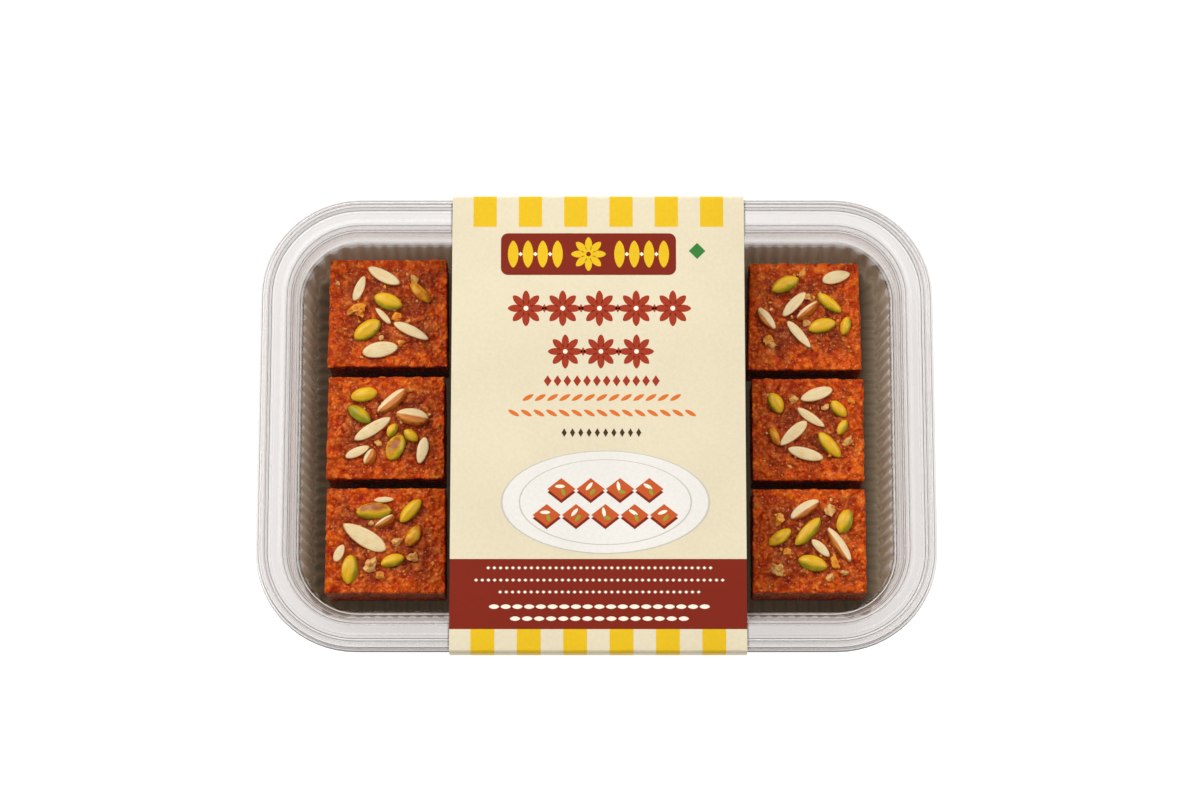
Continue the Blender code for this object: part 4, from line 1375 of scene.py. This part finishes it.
def build_stage():
    """A pale floor that glows round the pack as painted light, with a painted shadow under the well and painted light
    seen through the well's walls.
    """
    bm = bmesh.new()
    bmesh.ops.create_grid(bm, x_segments=1, y_segments=1, size=3.0)
    mesh = bpy.data.meshes.new("floor")
    bm.to_mesh(mesh)
    bm.free()
    material, tree, output = new_material("floor")
    place = object_place(tree)
    colour = ramp(tree, noise_value(tree, place, 3.0, 2.0), ((0.3, (148, 148, 148)), (0.7, (152, 152, 152))))
    apart = add_node(tree, "SeparateXYZ", {"Vector": place})
    lengthwise = math_node(tree, "ABSOLUTE", math_node(tree, "SUBTRACT", apart.outputs["X"], SHADE_MIDDLE.x))
    sideways = math_node(tree, "ABSOLUTE", math_node(tree, "SUBTRACT", apart.outputs["Y"], SHADE_MIDDLE.y))
    past_end = math_node(tree, "MAXIMUM", math_node(tree, "SUBTRACT", lengthwise, SHADE_X - SHADE_CORNER), 0.0)
    past_side = math_node(tree, "MAXIMUM", math_node(tree, "SUBTRACT", sideways, SHADE_Y - SHADE_CORNER), 0.0)
    squares = math_node(tree, "MULTIPLY_ADD", past_end, past_end, math_node(tree, "POWER", past_side, 2.0))
    past = math_node(tree, "SQRT", squares)
    # Painted shadow: the glow fades to almost nothing under the well.
    glow = map_range(
        tree, past, SHADE_CORNER, SHADE_CORNER + SHADE_FADE, WELL_GLOW, FLOOR_GLOW, "SMOOTHSTEP"
    )
    # Painted light: strips of glow under the well's walls.
    for axis, wall, reach, strength in WALL_GLOWS:
        from_wall = math_node(tree, "ABSOLUTE", math_node(tree, "SUBTRACT", apart.outputs[axis], wall))
        through = map_range(tree, from_wall, reach, 0.0, WELL_GLOW, strength)
        glow = math_node(tree, "MAXIMUM", glow, through)
    finish_shader(tree, output, {
        "Base Color": colour, "Roughness": 0.7, "Specular IOR Level": 0.2,
        "Emission Color": (1.0, 1.0, 1.0, 1.0), "Emission Strength": glow,
    })
    mesh.materials.append(material)
    floor = bpy.data.objects.new("floor", mesh)
    bpy.context.scene.collection.objects.link(floor)


def add_light(name, place, size, power):
    """A square soft light that shines at the pack."""
    data = bpy.data.lights.new(name, "AREA")
    data.size = size
    data.energy = power
    light = bpy.data.objects.new(name, data)
    light.location = place
    light.rotation_euler = (-Vector(place)).to_track_quat("-Z", "Y").to_euler()
    bpy.context.scene.collection.objects.link(light)


def build_lights():
    """Soft light from above on both sides, and pale surroundings."""
    add_light("key", (-0.8, 0.9, 1.4), 1.4, 29.0)
    add_light("side", (-1.2, 0.1, 0.7), 0.6, 5.0)
    add_light("fill", (1.0, 0.4, 1.3), 1.2, 16.5)


    add_light("front", (-0.2, -0.8, 1.6), 1.2, 1.5)
    world = bpy.data.worlds.new("surroundings")
    world.use_nodes = True
    tree = world.node_tree
    direction = add_node(tree, "TexCoord").outputs["Generated"]
    upward = add_node(tree, "SeparateXYZ", {"Vector": direction}).outputs["Z"]
    strength = map_range(tree, upward, 0.3, 0.95, 0.28, 0.02, "SMOOTHSTEP")
    tree.links.new(strength, tree.nodes["Background"].inputs["Strength"])
    tree.nodes["Background"].inputs["Color"].default_value = (1.0, 1.0, 1.0, 1.0)
    bpy.context.scene.world = world
    bpy.context.scene.view_settings.view_transform = "Standard"


def build_camera():
    elevation = math.radians(CAMERA_ELEVATION)
    data = bpy.data.cameras.new("camera")
    data.sensor_width = SENSOR_WIDTH
    data.lens = CAMERA_LENS
    data.clip_start = 0.05
    camera = bpy.data.objects.new("camera", data)
    back = Vector((0, -math.cos(elevation), math.sin(elevation)))
    camera.location = CAMERA_AIM + back * CAMERA_DISTANCE
    camera.rotation_euler = (-back).to_track_quat("-Z", "Y").to_euler()
    bpy.context.scene.collection.objects.link(camera)
    bpy.context.scene.camera = camera


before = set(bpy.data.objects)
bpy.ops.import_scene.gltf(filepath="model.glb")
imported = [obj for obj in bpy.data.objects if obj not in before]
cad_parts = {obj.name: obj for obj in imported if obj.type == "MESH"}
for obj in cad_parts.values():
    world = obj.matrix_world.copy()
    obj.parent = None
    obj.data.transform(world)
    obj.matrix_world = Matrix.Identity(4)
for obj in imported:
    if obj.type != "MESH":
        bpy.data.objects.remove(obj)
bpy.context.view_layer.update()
bpy.context.scene.cycles.transparent_max_bounces = 40

build_stage()
build_lights()
build_camera()
build_lid(film_material("lid_film", (248, 247, 246), (236, 232, 231), (248, 247, 246), 0.1, 0.1, 0.15))
build_tray(film_material("tray_film", (242, 241, 241), (230, 225, 222), (224, 212, 195), 0.9, 0.12, 0.12))

card = card_material("card", (221, 209, 179))
yellow = card_material("yellow_ink", (224, 182, 22))
maroon = card_material("maroon_ink", (124, 30, 8))
raw = card_material("raw_card", (214, 206, 190), 0.8)
build_sleeve([card, yellow, maroon, raw])
build_print([
    maroon,
    card_material("cream_ink", (240, 232, 212)),
    card_material("red_ink", (158, 50, 22)),
    card_material("orange_ink", (214, 110, 40)),
    card_material("dark_ink", (70, 44, 34)),
    card_material("green_ink", (52, 122, 50)),
    card_material("white_ink", (228, 224, 216)),
    card_material("shade_ink", (196, 190, 178)),
    card_material("sweet_ink", (192, 84, 34)),
    card_material("pistachio_ink", (140, 150, 44)),
    yellow,
])
build_sweets()
